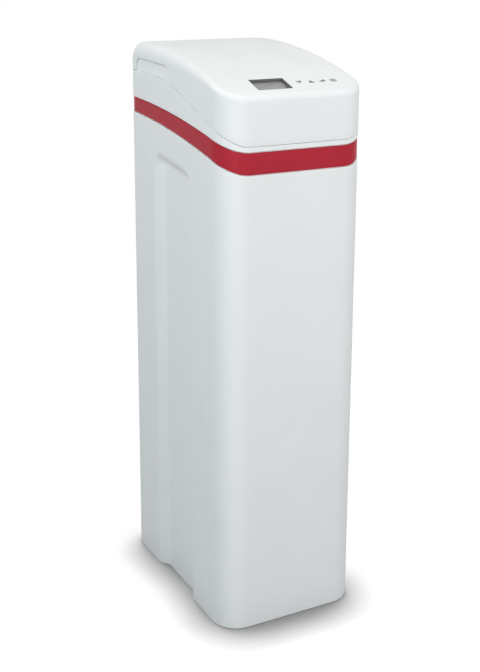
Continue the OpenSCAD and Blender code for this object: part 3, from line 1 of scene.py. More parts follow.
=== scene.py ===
"""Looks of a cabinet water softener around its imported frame.

Sizes are in millimetres in the frame's own axes, and every mesh is written in metres. The studio's own
sizes are in metres.
"""
import logging
from dataclasses import dataclass
from enum import Enum
from typing import Any, Sequence

import bmesh
import bpy
import numpy as np
from mathutils import Matrix, Vector


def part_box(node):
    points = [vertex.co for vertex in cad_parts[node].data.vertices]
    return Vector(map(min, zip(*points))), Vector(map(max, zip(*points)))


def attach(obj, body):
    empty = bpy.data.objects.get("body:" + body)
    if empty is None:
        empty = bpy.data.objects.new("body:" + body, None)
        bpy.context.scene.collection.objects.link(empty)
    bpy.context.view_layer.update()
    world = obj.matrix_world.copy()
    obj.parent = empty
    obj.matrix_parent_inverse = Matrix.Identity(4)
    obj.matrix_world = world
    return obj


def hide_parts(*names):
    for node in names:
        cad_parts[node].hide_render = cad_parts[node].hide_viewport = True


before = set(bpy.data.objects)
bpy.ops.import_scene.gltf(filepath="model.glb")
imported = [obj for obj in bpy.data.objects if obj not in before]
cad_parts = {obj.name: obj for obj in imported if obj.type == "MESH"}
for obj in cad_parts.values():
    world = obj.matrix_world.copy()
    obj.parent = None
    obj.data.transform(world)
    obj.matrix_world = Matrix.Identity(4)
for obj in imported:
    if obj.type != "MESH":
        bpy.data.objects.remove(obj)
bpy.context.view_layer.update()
MM = 0.001
LOG = logging.getLogger("water_softener")

Array = np.ndarray
Colour = tuple[float, float, float]
Point = tuple[float, float, float]
Size = tuple[float, float]
Span = tuple[float, float]
Socket = bpy.types.NodeSocket

UNIT: Span = (0.0, 1.0)
FALLING: Span = (1.0, 0.0)
# Range that most of a noise texture lies in
NOISE_SPAN: Span = (0.3, 0.7)
WHITE: Colour = (1.0, 1.0, 1.0)
BLACK: Colour = (0.0, 0.0, 0.0)


# Finishes


class Detail(Enum):
    """How many finer layers a noise texture has."""

    PLAIN = 1.0
    SOFT = 2.0
    FINE = 3.0
    RICH = 4.0


class Nodes:
    """Node tree, with short calls for the nodes that the finishes and the studio share."""

    # Inputs and output of a mix node that carry colours
    MIX_FIRST = 6
    MIX_SECOND = 7
    MIX_RESULT = 2

    def __init__(self, tree: bpy.types.NodeTree) -> None:
        """Keeps the tree that the nodes are added to."""
        self.tree = tree

    def join(self, source: Socket, target: Socket) -> None:
        """Links an output to an input."""
        self.tree.links.new(source, target)

    def node(self, kind: str, inputs: dict[Any, Any] | None = None, **settings: Any) -> bpy.types.Node:
        """Adds a node.

        Args:
            kind: Blender's name of the node type.
            inputs: what each input takes, by name or number: a socket is linked, a value is set.
            settings: properties of the node.

        Returns:
            The node.
        """
        made = self.tree.nodes.new(kind)
        for key, value in settings.items():
            setattr(made, key, value)
        for key, value in (inputs or {}).items():
            if isinstance(value, Socket):
                self.join(value, made.inputs[key])
            else:
                made.inputs[key].default_value = value
        return made

    def remap(self, value: Socket, source: Span, target: Span) -> Socket:
        """Takes a value from one range to another, clamped at both ends."""
        ends = {"From Min": source[0], "From Max": source[1], "To Min": target[0], "To Max": target[1]}
        return self.node("ShaderNodeMapRange", {"Value": value, **ends}).outputs[0]

    def math(self, operation: str, *values: Any) -> Socket:
        """One step of arithmetic on sockets or numbers."""
        return self.node("ShaderNodeMath", dict(enumerate(values)), operation=operation).outputs[0]

    def blend(self, factor: Socket, first: Any, second: Any) -> Socket:
        """Mixes two colours by a factor.

        Args:
            factor: share of the second colour.
            first: a colour or a socket.
            second: a colour or a socket.

        Returns:
            The colour socket.
        """
        first, second = ((*c, 1.0) if isinstance(c, tuple) else c for c in (first, second))
        inputs = {0: factor, self.MIX_FIRST: first, self.MIX_SECOND: second}
        return self.node("ShaderNodeMix", inputs, data_type="RGBA").outputs[self.MIX_RESULT]

    def seen(self) -> Socket:
        """1 for camera, glossy and transmitted rays, 0 for the others.

        Returns:
            The value socket.
        """
        path = self.node("ShaderNodeLightPath").outputs
        carried = self.math("MAXIMUM", path["Is Glossy Ray"], path["Is Transmission Ray"])
        return self.math("MAXIMUM", path["Is Camera Ray"], carried)


class Shader(Nodes):
    """Material with its Principled shader and the patterns that the finishes share."""

    def __init__(self, name: str) -> None:
        """Starts a material.

        Args:
            name: name of the material.
        """
        self.material = bpy.data.materials.new(name)
        self.material.use_nodes = True
        super().__init__(self.material.node_tree)
        self.surface = self.tree.nodes["Principled BSDF"]

    def link(self, source: Socket, name: str) -> None:
        """Links a socket to the shader's input of that name."""
        self.join(source, self.surface.inputs[name])

    def set(self, **values: Any) -> None:
        """Sets the shader's own sockets; an underscore stands for a space."""
        for key, value in values.items():
            self.surface.inputs[key.replace("_", " ")].default_value = value

    def place(self, scale: Sequence[float] = (1, 1, 1), turn: Sequence[float] = (0, 0, 0),
              centre: Sequence[float] = (0, 0, 0)) -> Socket:
        """Object coordinates in metres, moved to a centre, turned and stretched.

        Args:
            scale: stretch along each axis.
            turn: angles about the axes, in degrees.
            centre: point of the frame that becomes the pattern's origin, in millimetres.

        Returns:
            The vector socket.
        """
        source = self.node("ShaderNodeTexCoord").outputs["Object"]
        moved = self.node("ShaderNodeVectorMath", {0: source, 1: np.multiply(centre, -MM)}, operation="ADD")
        inputs = {"Vector": moved.outputs[0], "Rotation": np.radians(turn), "Scale": scale}
        return self.node("ShaderNodeMapping", inputs).outputs[0]

    def noise(self, place: Socket, size: float, detail: Detail) -> Socket:
        """Soft noise whose features are about size millimetres wide."""
        inputs = {"Vector": place, "Scale": 1 / (size * MM), "Detail": detail.value}
        return self.node("ShaderNodeTexNoise", inputs).outputs[0]

    def cells(self, place: Socket, size: float, feature: str = "F1") -> bpy.types.Node:
        """Voronoi cells about size millimetres wide."""
        inputs = {"Vector": place, "Scale": 1 / (size * MM)}
        return self.node("ShaderNodeTexVoronoi", inputs, feature=feature)

    def bump(self, height: Socket, depth: float) -> None:
        """Raises the surface by up to depth millimetres where height is 1."""
        made = self.node("ShaderNodeBump", {"Height": height, "Strength": 1.0, "Distance": depth * MM})
        self.link(made.outputs[0], "Normal")


def shade(colour: Colour, factor: float) -> Colour:
    """The colour made darker or lighter by a factor."""
    return tuple(min(1.0, c * factor) for c in colour)


@dataclass(frozen=True)
class Finish:
    """What every finish has: a name, a colour and a roughness."""

    name: str
    colour: Colour
    roughness: float

    def material(self) -> bpy.types.Material:
        """Makes the finish's material on first use.

        Returns:
            The material.
        """
        label = self.name + "_finish"
        found = bpy.data.materials.get(label)
        if found is not None:
            return found
        shader = Shader(label)
        self.dress(shader)
        return shader.material

    def dress(self, shader: Shader) -> None:
        """Wires the finish's own pattern."""
        raise NotImplementedError

    def tint(self, shader: Shader, factor: Socket, shades: Span) -> None:
        """Varies the colour between two shades of it by a factor."""
        low, high = (shade(self.colour, s) for s in shades)
        shader.link(shader.blend(factor, low, high), "Base Color")

    def gloss(self, shader: Shader, value: Socket, source: Span, change: Span) -> None:
        """Varies the roughness by a change at each end of a value's range."""
        target = (self.roughness + change[0], self.roughness + change[1])
        shader.link(shader.remap(value, source, target), "Roughness")


@dataclass(frozen=True)
class Clouded(Finish):
    """Finish with soft clouds of colour and finer clouds of gloss."""

    clouds: float = 90.0
    spread: float = 0.012
    gloss_spread: float = 0.05
    gloss_ratio: float = 5.0

    def mottle(self, shader: Shader, place: Socket) -> None:
        """Wires the clouds: a noise between two shades, and a finer noise between two roughnesses.

        Args:
            shader: material to wire.
            place: coordinates of the pattern.
        """
        cloud = shader.remap(shader.noise(place, self.clouds, Detail.RICH), NOISE_SPAN, UNIT)
        self.tint(shader, cloud, (1 - self.spread, 1 + self.spread))
        fine = shader.noise(place, self.clouds / self.gloss_ratio, Detail.FINE)
        self.gloss(shader, fine, NOISE_SPAN, (-self.gloss_spread, self.gloss_spread))


@dataclass(frozen=True)
class MouldedPlastic(Clouded):
    """Moulded plastic: faint clouds of colour, uneven gloss, a fine grain and a broad ripple."""

    grain: float = 1.2
    grain_depth: float = 0.02
    ripple_ratio: float = 30.0
    ripple_share: float = 0.6
    ior: float = 1.48

    def dress(self, shader: Shader) -> None:
        """Wires clouds, gloss, grain and ripple.

        Args:
            shader: material to wire.
        """
        place = shader.place()
        self.mottle(shader, place)
        fine = shader.noise(place, self.grain, Detail.FINE)
        broad = shader.noise(place, self.grain * self.ripple_ratio, Detail.PLAIN)
        ripple = shader.math("MULTIPLY", broad, self.ripple_share)
        shader.bump(shader.math("ADD", fine, ripple), self.grain_depth)
        shader.set(IOR=self.ior)


@dataclass(frozen=True)
class MachinedMetal(Clouded):
    """Machined metal: fine tool lines along the depth and worn, uneven gloss."""

    clouds: float = 9.0
    spread: float = 0.06
    gloss_spread: float = 0.08
    line: float = 0.35
    line_stretch: float = 0.08
    line_depth: float = 0.012

    def dress(self, shader: Shader) -> None:
        """Wires gloss and tool lines, which are a noise stretched along Y.

        Args:
            shader: material to wire.
        """
        self.mottle(shader, shader.place())
        stretched = shader.place(scale=(1.0, self.line_stretch, 1.0))
        shader.bump(shader.noise(stretched, self.line, Detail.SOFT), self.line_depth)
        shader.set(Metallic=1.0)


@dataclass(frozen=True)
class WoundFibre(Finish):
    """Glass-fibre winding under resin: two crossing sets of helical bands round the vessel's axis."""

    axis: tuple[float, float] = (0.0, 70.0)
    bands: int = 22
    pitch: float = 36.0
    weave_span: Span = (-0.2, 1.0)
    weave_share: float = 0.7
    fibre: float = 1.5
    fibre_stretch: float = 0.15
    shades: Span = (0.8, 1.25)
    gloss_change: Span = (-0.08, 0.1)
    relief: float = 0.25

    def dress(self, shader: Shader) -> None:
        """Wires the helices: each is the sine of bands times the turn, plus or minus height over pitch.

        Args:
            shader: material to wire.
        """
        parts = shader.node("ShaderNodeSeparateXYZ", {0: shader.place(centre=(*self.axis, 0.0))}).outputs
        turn = shader.math("MULTIPLY", shader.math("ARCTAN2", parts[1], parts[0]), self.bands)
        rise = shader.math("MULTIPLY", parts[2], 2 * np.pi / (self.pitch * MM))
        one = shader.math("SINE", shader.math("ADD", turn, rise))
        two = shader.math("SINE", shader.math("SUBTRACT", turn, rise))
        weave = shader.remap(shader.math("MAXIMUM", one, two), self.weave_span, UNIT)
        stretched = shader.place(scale=(1.0, 1.0, self.fibre_stretch))
        fibre = shader.noise(stretched, self.fibre, Detail.RICH)
        mixed = shader.math("ADD", shader.math("MULTIPLY", weave, self.weave_share),
                            shader.math("MULTIPLY", fibre, 1 - self.weave_share))
        self.tint(shader, mixed, self.shades)
        self.gloss(shader, fibre, NOISE_SPAN, self.gloss_change)
        shader.bump(mixed, self.relief)


@dataclass(frozen=True)
class PackedBeads(Finish):
    """Bed of small round resin beads."""

    bead: float = 0.9
    rim: float = 0.6
    shades: Span = (0.75, 1.3)
    gloss_change: Span = (0.0, 0.3)
    relief: float = 0.4

    def dress(self, shader: Shader) -> None:
        """Wires one cell per bead, each with its own tint and rougher towards its rim.

        Args:
            shader: material to wire.
        """
        cell = shader.cells(shader.place(), self.bead).outputs
        tone = shader.node("ShaderNodeSeparateXYZ", {0: cell["Color"]}).outputs[0]
        self.tint(shader, tone, self.shades)
        self.gloss(shader, cell["Distance"], (0.0, self.rim), self.gloss_change)
        shader.bump(shader.math("SUBTRACT", 1.0, cell["Distance"]), self.relief)


@dataclass(frozen=True)
class CircuitBoard(Finish):
    """Lacquered board with raised tracks and small pads."""

    track: float = 5.0
    track_edge: Span = (0.03, 0.07)
    track_shade: float = 1.7
    pad: Colour = (0.62, 0.56, 0.40)
    pad_edge: Span = (0.1, 0.14)
    pad_roughness: float = 0.25
    relief: float = 0.05

    def dress(self, shader: Shader) -> None:
        """Wires tracks along cell borders and pads at cell centres.

        Args:
            shader: material to wire.
        """
        place = shader.place()
        border = shader.cells(place, self.track, "DISTANCE_TO_EDGE").outputs["Distance"]
        tracks = shader.remap(border, self.track_edge, FALLING)
        pads = shader.remap(shader.cells(place, self.track).outputs["Distance"], self.pad_edge, FALLING)
        lacquer = shader.blend(tracks, self.colour, shade(self.colour, self.track_shade))
        shader.link(shader.blend(pads, lacquer, self.pad), "Base Color")
        shader.link(shader.remap(pads, UNIT, (self.roughness, self.pad_roughness)), "Roughness")
        shader.bump(shader.math("MAXIMUM", tracks, pads), self.relief)


@dataclass(frozen=True)
class LiquidCrystal(Finish):
    """Unlit liquid-crystal screen: a fine grid of cells under a faint sheen."""

    cell: float = 0.9
    tilt: float = 19.03
    line_span: Span = (0.8, 1.0)
    line_shade: float = 0.86
    clouds: float = 28.0
    shades: Span = (0.94, 1.06)
    gloss_change: Span = (-0.03, 0.03)

    def dress(self, shader: Shader) -> None:
        """Wires the grid: each line is where a sine along the panel's own axes is near 1.

        Args:
            shader: material to wire.
        """
        parts = shader.node("ShaderNodeSeparateXYZ", {0: shader.place(turn=(-self.tilt, 0, 0))}).outputs
        wave = 2 * np.pi / (self.cell * MM)
        lines = [shader.math("SINE", shader.math("MULTIPLY", parts[i], wave)) for i in (0, 1)]
        grid = shader.remap(shader.math("MAXIMUM", *lines), self.line_span, UNIT)
        cloud = shader.remap(shader.noise(shader.place(), self.clouds, Detail.SOFT), NOISE_SPAN, UNIT)
        base = shader.blend(cloud, *(shade(self.colour, s) for s in self.shades))
        shader.link(shader.blend(grid, base, shade(self.colour, self.line_shade)), "Base Color")
        self.gloss(shader, cloud, UNIT, self.gloss_change)


@dataclass(frozen=True)
class ClearPane(Clouded):
    """Clear hard-coated pane with faint smears."""

    clouds: float = 20.0
    spread: float = 0.02
    gloss_spread: float = 0.03
    alpha: float = 0.12
    alpha_spread: float = 0.03
    haze: float = 14.0

    def dress(self, shader: Shader) -> None:
        """Wires smears into the gloss and the haze.

        Args:
            shader: material to wire.
        """
        place = shader.place()
        self.mottle(shader, place)
        haze = shader.noise(place, self.haze, Detail.FINE)
        target = (self.alpha - self.alpha_spread, self.alpha + self.alpha_spread)
        shader.link(shader.remap(haze, NOISE_SPAN, target), "Alpha")


@dataclass(frozen=True)
class MilkyTube(Clouded):
    """Milky polyethylene: part of the light passes, and the surface is slightly uneven."""

    clouds: float = 25.0
    spread: float = 0.03
    passed: float = 0.45
    ripple: float = 2.0
    ripple_depth: float = 0.02
    ior: float = 1.5

    def dress(self, shader: Shader) -> None:
        """Wires the clouds and the uneven surface.

        Args:
            shader: material to wire.
        """
        place = shader.place()
        self.mottle(shader, place)
        shader.bump(shader.noise(place, self.ripple, Detail.FINE), self.ripple_depth)
        shader.set(Transmission_Weight=self.passed, IOR=self.ior)


class Finishes:
    """The finishes of this water softener: one for each slot of the record, and three more."""

    white_shell = MouldedPlastic("white_shell", (0.812, 0.838, 0.846), 0.58, grain=0.9, grain_depth=0.015,
                                 ior=1.28)
    red_band = MouldedPlastic("red_band", (0.435, 0.029, 0.046), 0.20, grain=3.0, grain_depth=0.006,
                              spread=0.03, gloss_spread=0.04, ior=1.12)
    # Grey of the display's lining and frame: partly the parts' own tone, partly painted shade for the
    # inside of the display's opening
    bezel_grey_and_painted_shade = MouldedPlastic("bezel_grey_and_painted_shade", (0.14, 0.144, 0.15), 0.5, spread=0.05)
    steel = MachinedMetal("steel", (0.60, 0.60, 0.62), 0.30)
    dark_plastic = MouldedPlastic("dark_plastic", (0.035, 0.037, 0.040), 0.45, spread=0.1)
    black_plastic = MouldedPlastic("black_plastic", (0.014, 0.014, 0.015), 0.48, spread=0.15)
    pale_plastic = MouldedPlastic("pale_plastic", (0.52, 0.54, 0.55), 0.45, spread=0.03)
    rubber_seal = MouldedPlastic("rubber_seal", (0.010, 0.010, 0.010), 0.75, grain=0.6, spread=0.2)
    clear_window = ClearPane("clear_window", (0.05, 0.05, 0.05), 0.12)
    display_glass = LiquidCrystal("display_glass", (0.46, 0.47, 0.466), 0.40)
    circuit_board = CircuitBoard("circuit_board", (0.008, 0.075, 0.035), 0.40)
    vessel = WoundFibre("vessel", (0.045, 0.085, 0.145), 0.38)
    resin_beads = PackedBeads("resin_beads", (0.33, 0.15, 0.03), 0.30)
    milky_tube = MilkyTube("milky_tube", (0.70, 0.72, 0.72), 0.30)
    key_print = MouldedPlastic("key_print", (0.11, 0.115, 0.12), 0.55, spread=0.08)


# Meshes


# Angles in degrees above which an edge stays sharp
CREASE = 40.0
SOFT_CREASE = 50.0


@dataclass
class Skin:
    """Surface through a grid of points in millimetres; each row is a closed ring of columns."""

    points: Array
    loop: bool = False

    def faces(self, first: int) -> list[list[int]]:
        """Quads between neighbouring rings, and a face across each open end.

        Args:
            first: number of this skin's first vertex.

        Returns:
            Lists of vertex numbers.
        """
        rows, columns = self.points.shape[:2]
        index = first + np.arange(rows * columns).reshape(rows, columns)
        low = index if self.loop else index[:-1]
        high = np.roll(index, -1, axis=0) if self.loop else index[1:]
        quads = np.stack([low, np.roll(low, -1, 1), np.roll(high, -1, 1), high], axis=-1)
        made = quads.reshape(-1, 4).tolist()
        if not self.loop:
            made += [index[0, ::-1].tolist(), index[-1].tolist()]
        return made


def mesh_of(name: str, skins: Sequence[Skin]) -> bpy.types.Object:
    """Writes skins into one mesh, in metres, with faces that point outwards.

    Args:
        name: name of the object and its mesh.
        skins: closed surfaces.

    Returns:
        The object, linked to the scene.
    """
    starts = np.cumsum([0] + [s.points.shape[0] * s.points.shape[1] for s in skins])
    points = np.concatenate([s.points.reshape(-1, 3) for s in skins]) * MM
    faces = [f for s, start in zip(skins, starts) for f in s.faces(int(start))]
    mesh = bpy.data.meshes.new(name)
    mesh.from_pydata(points.tolist(), [], faces)
    shell = bmesh.new()
    shell.from_mesh(mesh)
    bmesh.ops.recalc_face_normals(shell, faces=shell.faces[:])
    shell.to_mesh(mesh)
    shell.free()
    made = bpy.data.objects.new(name, mesh)
    bpy.context.scene.collection.objects.link(made)
    return made


def cut(piece: bpy.types.Object, tools: Sequence[Skin]) -> None:
    """Takes closed skins out of a piece and keeps the result as its mesh.

    Args:
        piece: object to cut.
        tools: closed surfaces, clear of each other.
    """
    tool = mesh_of(piece.name + "_tool", tools)
    step = piece.modifiers.new("openings", "BOOLEAN")
    step.operation = "DIFFERENCE"
    step.solver = "EXACT"
    step.object = tool
    bpy.context.view_layer.update()
    whole = piece.evaluated_get(bpy.context.evaluated_depsgraph_get())
    result = bpy.data.meshes.new_from_object(whole)
    piece.modifiers.clear()
    old = piece.data
    piece.data = result
    result.name = piece.name
    bpy.data.meshes.remove(old)
    bpy.data.objects.remove(tool)


@dataclass(frozen=True)
class Place:
    """Where a piece belongs: its body, its finish's slot and the CAD nodes that it stands for."""

    body: str
    slot: str
    stands_for: tuple[str, ...] = ()


def settle(piece: bpy.types.Object, finish: Finish, place: Place, crease: float = CREASE) -> None:
    """Dresses a finished mesh and ties it to the frame.

    Args:
        piece: object whose mesh is final.
        finish: its finish.
        place: its body, slot and nodes.
        crease: angle in degrees above which an edge stays sharp.
    """
    piece.data.materials.clear()
    piece.data.materials.append(finish.material())
    piece.data.shade_smooth()
    piece.data.set_sharp_from_angle(angle=np.radians(crease))
    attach(piece, place.body)
    if place.stands_for:
        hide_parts(*place.stands_for)
    LOG.info("%s: %d faces on %s", piece.name, len(piece.data.polygons), place.body)


def dress(finish: Finish, *nodes: str) -> None:
    """Gives CAD nodes a finish.

    Args:
        finish: the finish.
        nodes: names of the nodes.
    """
    for name in nodes:
        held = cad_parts[name]
        if held.material_slots:
            held.material_slots[0].material = finish.material()
        else:
            held.data.materials.append(finish.material())
        LOG.info("%s: dressed in %s", name, finish.name)


# Outlines and curves


def stations(marks: Sequence[float], step: float) -> Array:
    """Places from the first mark to the last, through every mark and at most step apart."""
    runs = [np.linspace(a, b, int(np.ceil(abs(b - a) / step)) + 1)[:-1] for a, b in zip(marks, marks[1:])]
    return np.append(np.concatenate(runs), marks[-1])


def quarter(steps: int) -> Array:
    """Angles of a quarter turn in radians, both ends included."""
    return np.linspace(0.0, np.pi / 2, steps + 1)


def circle(radius: float | Array, turn: Array) -> Array:
    """Points of a circle at the angles given."""
    return radius * np.stack([np.cos(turn), np.sin(turn)], axis=-1)


def disc(radius: float, steps: int = 32) -> Array:
    """Outline of a circle in even steps."""
    return circle(radius, np.linspace(0.0, 2 * np.pi, steps, endpoint=False))


def rounded_rectangle(width: float, length: float, radius: float, steps: int = 6) -> Array:
    """Outline of a rectangle with round corners: four quarter arcs about the corners' centres.

    Args:
        width: size along the first axis.
        length: size along the second axis.
        radius: radius of the corners.
        steps: steps of each arc.

    Returns:
        Points, anticlockwise.
    """
    turn = np.concatenate([quarter(steps) + k * np.pi / 2 for k in range(4)])
    side = np.repeat([[1, 1], [-1, 1], [-1, -1], [1, -1]], steps + 1, axis=0)
    return side * (np.array([width, length]) / 2 - radius) + circle(radius, turn)


def between(low: Array, high: Array, steps: int) -> Array:
    """Rings from one ring to another in even steps, both ends left out."""
    return low + (high - low) * np.linspace(0.0, 1.0, steps + 1)[1:-1, None, None]


def rings_to_centre(ring: Array, shares: Sequence[float]) -> Array:
    """Rings that shrink from a ring to the upright axis, at the ring's own heights.

    Args:
        ring: points of the first ring.
        shares: size of each ring as a share of the first.

    Returns:
        Points by ring and column.
    """
    flat = ring[None, :, :2] * np.asarray(shares)[:, None, None]
    height = np.broadcast_to(ring[None, :, 2:], (*flat.shape[:2], 1))
    return np.concatenate([flat, height], axis=-1)


def soft_step(t: Array, soft: float) -> Array:
    """Zero below 0 and t above it, joined by a parabola over soft on both sides."""
    return np.where(np.abs(t) < soft, (t + soft) ** 2 / (4 * soft), np.maximum(t, 0.0))


@dataclass(frozen=True)
class Axes:
    """A flat frame in space: an origin and its first and second axes, with the outward one across both."""

    origin: Point
    first: Point
    second: Point

    def put(self, outline: Array, height: float) -> Array:
        """Sets an outline at a height above the frame's plane.

        Args:
            outline: points along the first and second axes.
            height: distance along the outward axis.

        Returns:
            Points in space.
        """
        first, second = np.array(self.first), np.array(self.second)
        flat = outline[..., :1] * first + outline[..., 1:] * second
        return np.array(self.origin) + flat + height * np.cross(first, second)

    def shifted(self, along: float, across: float = 0.0) -> "Axes":
        """The same frame moved within its own plane."""
        return Axes(tuple(self.put(np.array([along, across]), 0.0)), self.first, self.second)

    def prism(self, outline: Array, low: float, high: float) -> Skin:
        """Closed block between two heights over an outline."""
        return Skin(np.stack([self.put(outline, low), self.put(outline, high)]))

    def sleeve(self, outer: Array, inner: Array, low: float, high: float) -> Skin:
        """Closed ring between two outlines of as many points and two heights."""
        corners = ((outer, low), (outer, high), (inner, high), (inner, low))
        return Skin(np.stack([self.put(*corner) for corner in corners]), loop=True)


@dataclass(frozen=True)
class EdgeCurve:
    """Height of an edge over the depth: a front arc and a main arc that meet at one slope, in degrees."""

    start: float
    front: float
    mid: float
    rear: float
    front_y: float = -230.0
    rear_y: float = 230.0
    run: float = 65.0

    def at(self, y: Array) -> Array:
        """Heights of the edge: each arc rises by radius times the change of its slope angle's cosine.

        Args:
            y: places along the depth.

        Returns:
            A height for each place.
        """
        slopes = np.sin(np.radians([self.front, self.mid, self.rear]))
        level = np.sqrt(1 - slopes ** 2)
        join = self.front_y + self.run
        radius_1 = self.run / (slopes[0] - slopes[1])
        radius_2 = (self.rear_y - join) / (slopes[1] - slopes[2])
        done_1 = (np.clip(y, self.front_y, join) - self.front_y) / radius_1
        done_2 = (np.clip(y, join, self.rear_y) - join) / radius_2
        return (self.start + radius_1 * (np.sqrt(1 - (slopes[0] - done_1) ** 2) - level[0])
                + radius_2 * (np.sqrt(1 - (slopes[1] - done_2) ** 2) - level[1]))


# Plan of the cabinet


@dataclass
class Columns:
    """Upright lines round the cabinet: their places in plan, their outward directions and the two sides."""

    xy: Array
    out: Array
    right: slice
    left: slice

    @property
    def y(self) -> Array:
        """Places of the columns along the depth."""
        return self.xy[:, 1]

    def drawn_in(self, inset: Array) -> Array:
        """Places moved inwards, by one inset per column or a grid of them."""
        return self.xy - inset[..., None] * self.out

    def rows(self, inset: Array, z: Array) -> Array:
        """Points by row and column: each column drawn in by its inset, at its height."""
        return np.concatenate([self.drawn_in(np.broadcast_to(inset, z.shape)), z[..., None]], axis=-1)


@dataclass(frozen=True)
class Plan:
    """Plan of the cabinet: a rectangle with larger front corners and smaller rear ones."""

    half_x: float = 155.0
    half_y: float = 230.0
    front_r: float = 54.0
    rear_r: float = 52.0
    corner_steps: int = 16
    end_step: float = 10.0

    @property
    def side_ends(self) -> tuple[float, float]:
        """Front and rear ends of the straight sides."""
        return self.front_r - self.half_y, self.half_y - self.rear_r

    def corner(self, side: int, end: int, first: float) -> tuple[Array, Array]:
        """Places and directions round one corner, without its two ends.

        Args:
            side: -1 for the left, 1 for the right.
            end: -1 for the front, 1 for the rear.
            first: angle in degrees at which the corner starts.

        Returns:
            Places and outward directions.
        """
        radius = self.front_r if end < 0 else self.rear_r
        out = circle(1.0, np.radians(first) + quarter(self.corner_steps)[1:-1])
        centre = np.array([side * (self.half_x - radius), end * (self.half_y - radius)])
        return centre + radius * out, out

    def face(self, x: Array | float, y: Array | float, out: tuple[int, int]) -> tuple[Array, Array]:
        """Places along one straight face, where x or y is a run of places, and their outward direction.

        Args:
            x: places across, or the one place of all.
            y: places along the depth, or the one place of all.
            out: outward direction.

        Returns:
            Places and outward directions.
        """
        xy = np.stack(np.broadcast_arrays(x, y), axis=-1)
        return xy, np.broadcast_to(np.array(out, float), xy.shape)

    def columns(self, side: Array, step: float | None = None) -> Columns:
        """Columns anticlockwise from the left front corner.

        Args:
            side: places along both sides, front to rear.
            step: spacing along the front and the rear, if not the plan's own.

        Returns:
            The columns.
        """
        front_x, rear_x = self.half_x - self.front_r, self.half_x - self.rear_r
        front = stations([-front_x, front_x], step or self.end_step)
        rear = stations([-rear_x, rear_x], step or self.end_step)[::-1]
        parts = [
            self.corner(-1, -1, 180),
            self.face(front, -self.half_y, (0, -1)),
            self.corner(1, -1, 270),
            self.face(self.half_x, side, (1, 0)),
            self.corner(1, 1, 0),
            self.face(rear, self.half_y, (0, 1)),
            self.corner(-1, 1, 90),
            self.face(-self.half_x, side[::-1], (-1, 0)),
        ]
        xy, out = (np.concatenate(p) for p in zip(*parts))
        ends = np.cumsum([len(p[0]) for p in parts])
        return Columns(xy, out, slice(ends[2], ends[3]), slice(ends[6], ends[7]))


@dataclass(frozen=True)
class RingSection:
    """Section of a ring round the plan: a rectangle whose two outer edges are quarter rounds."""

    inset: float
    thickness: float
    edge_r: float
    face_steps: int
    edge_steps: int = 4

    def carry(self, columns: Columns, low: Array, top: Array) -> Skin:
        """Carries the section round the plan between two edges.

        Args:
            columns: columns of the ring.
            low: height of the lower edge at each column.
            top: height of the upper edge at each column.

        Returns:
            The closed ring.
        """
        turn = quarter(self.edge_steps)[:, None]
        away = self.edge_r * (1 - np.cos(turn))
        rise = self.edge_r * (1 - np.sin(turn))
        back = np.full((1, 1), self.thickness)
        share = np.linspace(0.0, 1.0, self.face_steps + 1)[1:-1, None]
        face = low + self.edge_r + (top - low - 2 * self.edge_r) * share
        inset = np.concatenate([back, away[::-1], np.zeros_like(share), away, back]) + self.inset
        z = np.concatenate([low[None], low + rise[::-1], face, top - rise, top[None]])
        return Skin(columns.rows(inset, z), loop=True)


PLAN = Plan()
BAND_LOW = EdgeCurve(927.0, 33.0, 11.5, 1.5)
BAND_TOP = EdgeCurve(968.0, 29.0, 10.0, 0.5)
# Gap between the band and the casing above and below it
GROOVE = 1.5
# Size of the smallest ring at the middle of a closed end, as a share of the first
LAST_RING = 0.02


# Cabinet and band


@dataclass(frozen=True)
class SideRecess:
    """Tall shallow recess in each side of the cabinet, open at the floor."""

    half: float = 82.0
    depth: float = 15.0
    top: float = 918.0
    slope: float = 7.0
    radius: float = 28.0
    soft: float = 7.5

    def depth_at(self, y: Array, z: Array) -> Array:
        """Depth below the side: the distance inside the outline, kept between 0 and the full depth.

        The outline is a strip with a sloping top and round corners, so the distance is that of a box
        whose corners are drawn in by the radius, less the radius. Both creases are softened.

        Args:
            y: places along the depth of the cabinet.
            z: heights.

        Returns:
            A depth for each point.
        """
        tilt = np.radians(self.slope)
        across = np.abs(y) - self.half + self.radius
        above = (z - self.top - y * np.tan(tilt)) * np.cos(tilt) + self.radius
        outside = np.hypot(np.maximum(across, 0.0), np.maximum(above, 0.0))
        inside = self.radius - outside - np.minimum(np.maximum(across, above), 0.0)
        return soft_step(inside, self.soft) - soft_step(inside - self.depth, self.soft)


@dataclass(frozen=True)
class RearHole:
    """Round hole in the rear wall: its place from the ports' middle, seen from behind, and its radius."""

    across: float
    up: float
    radius: float


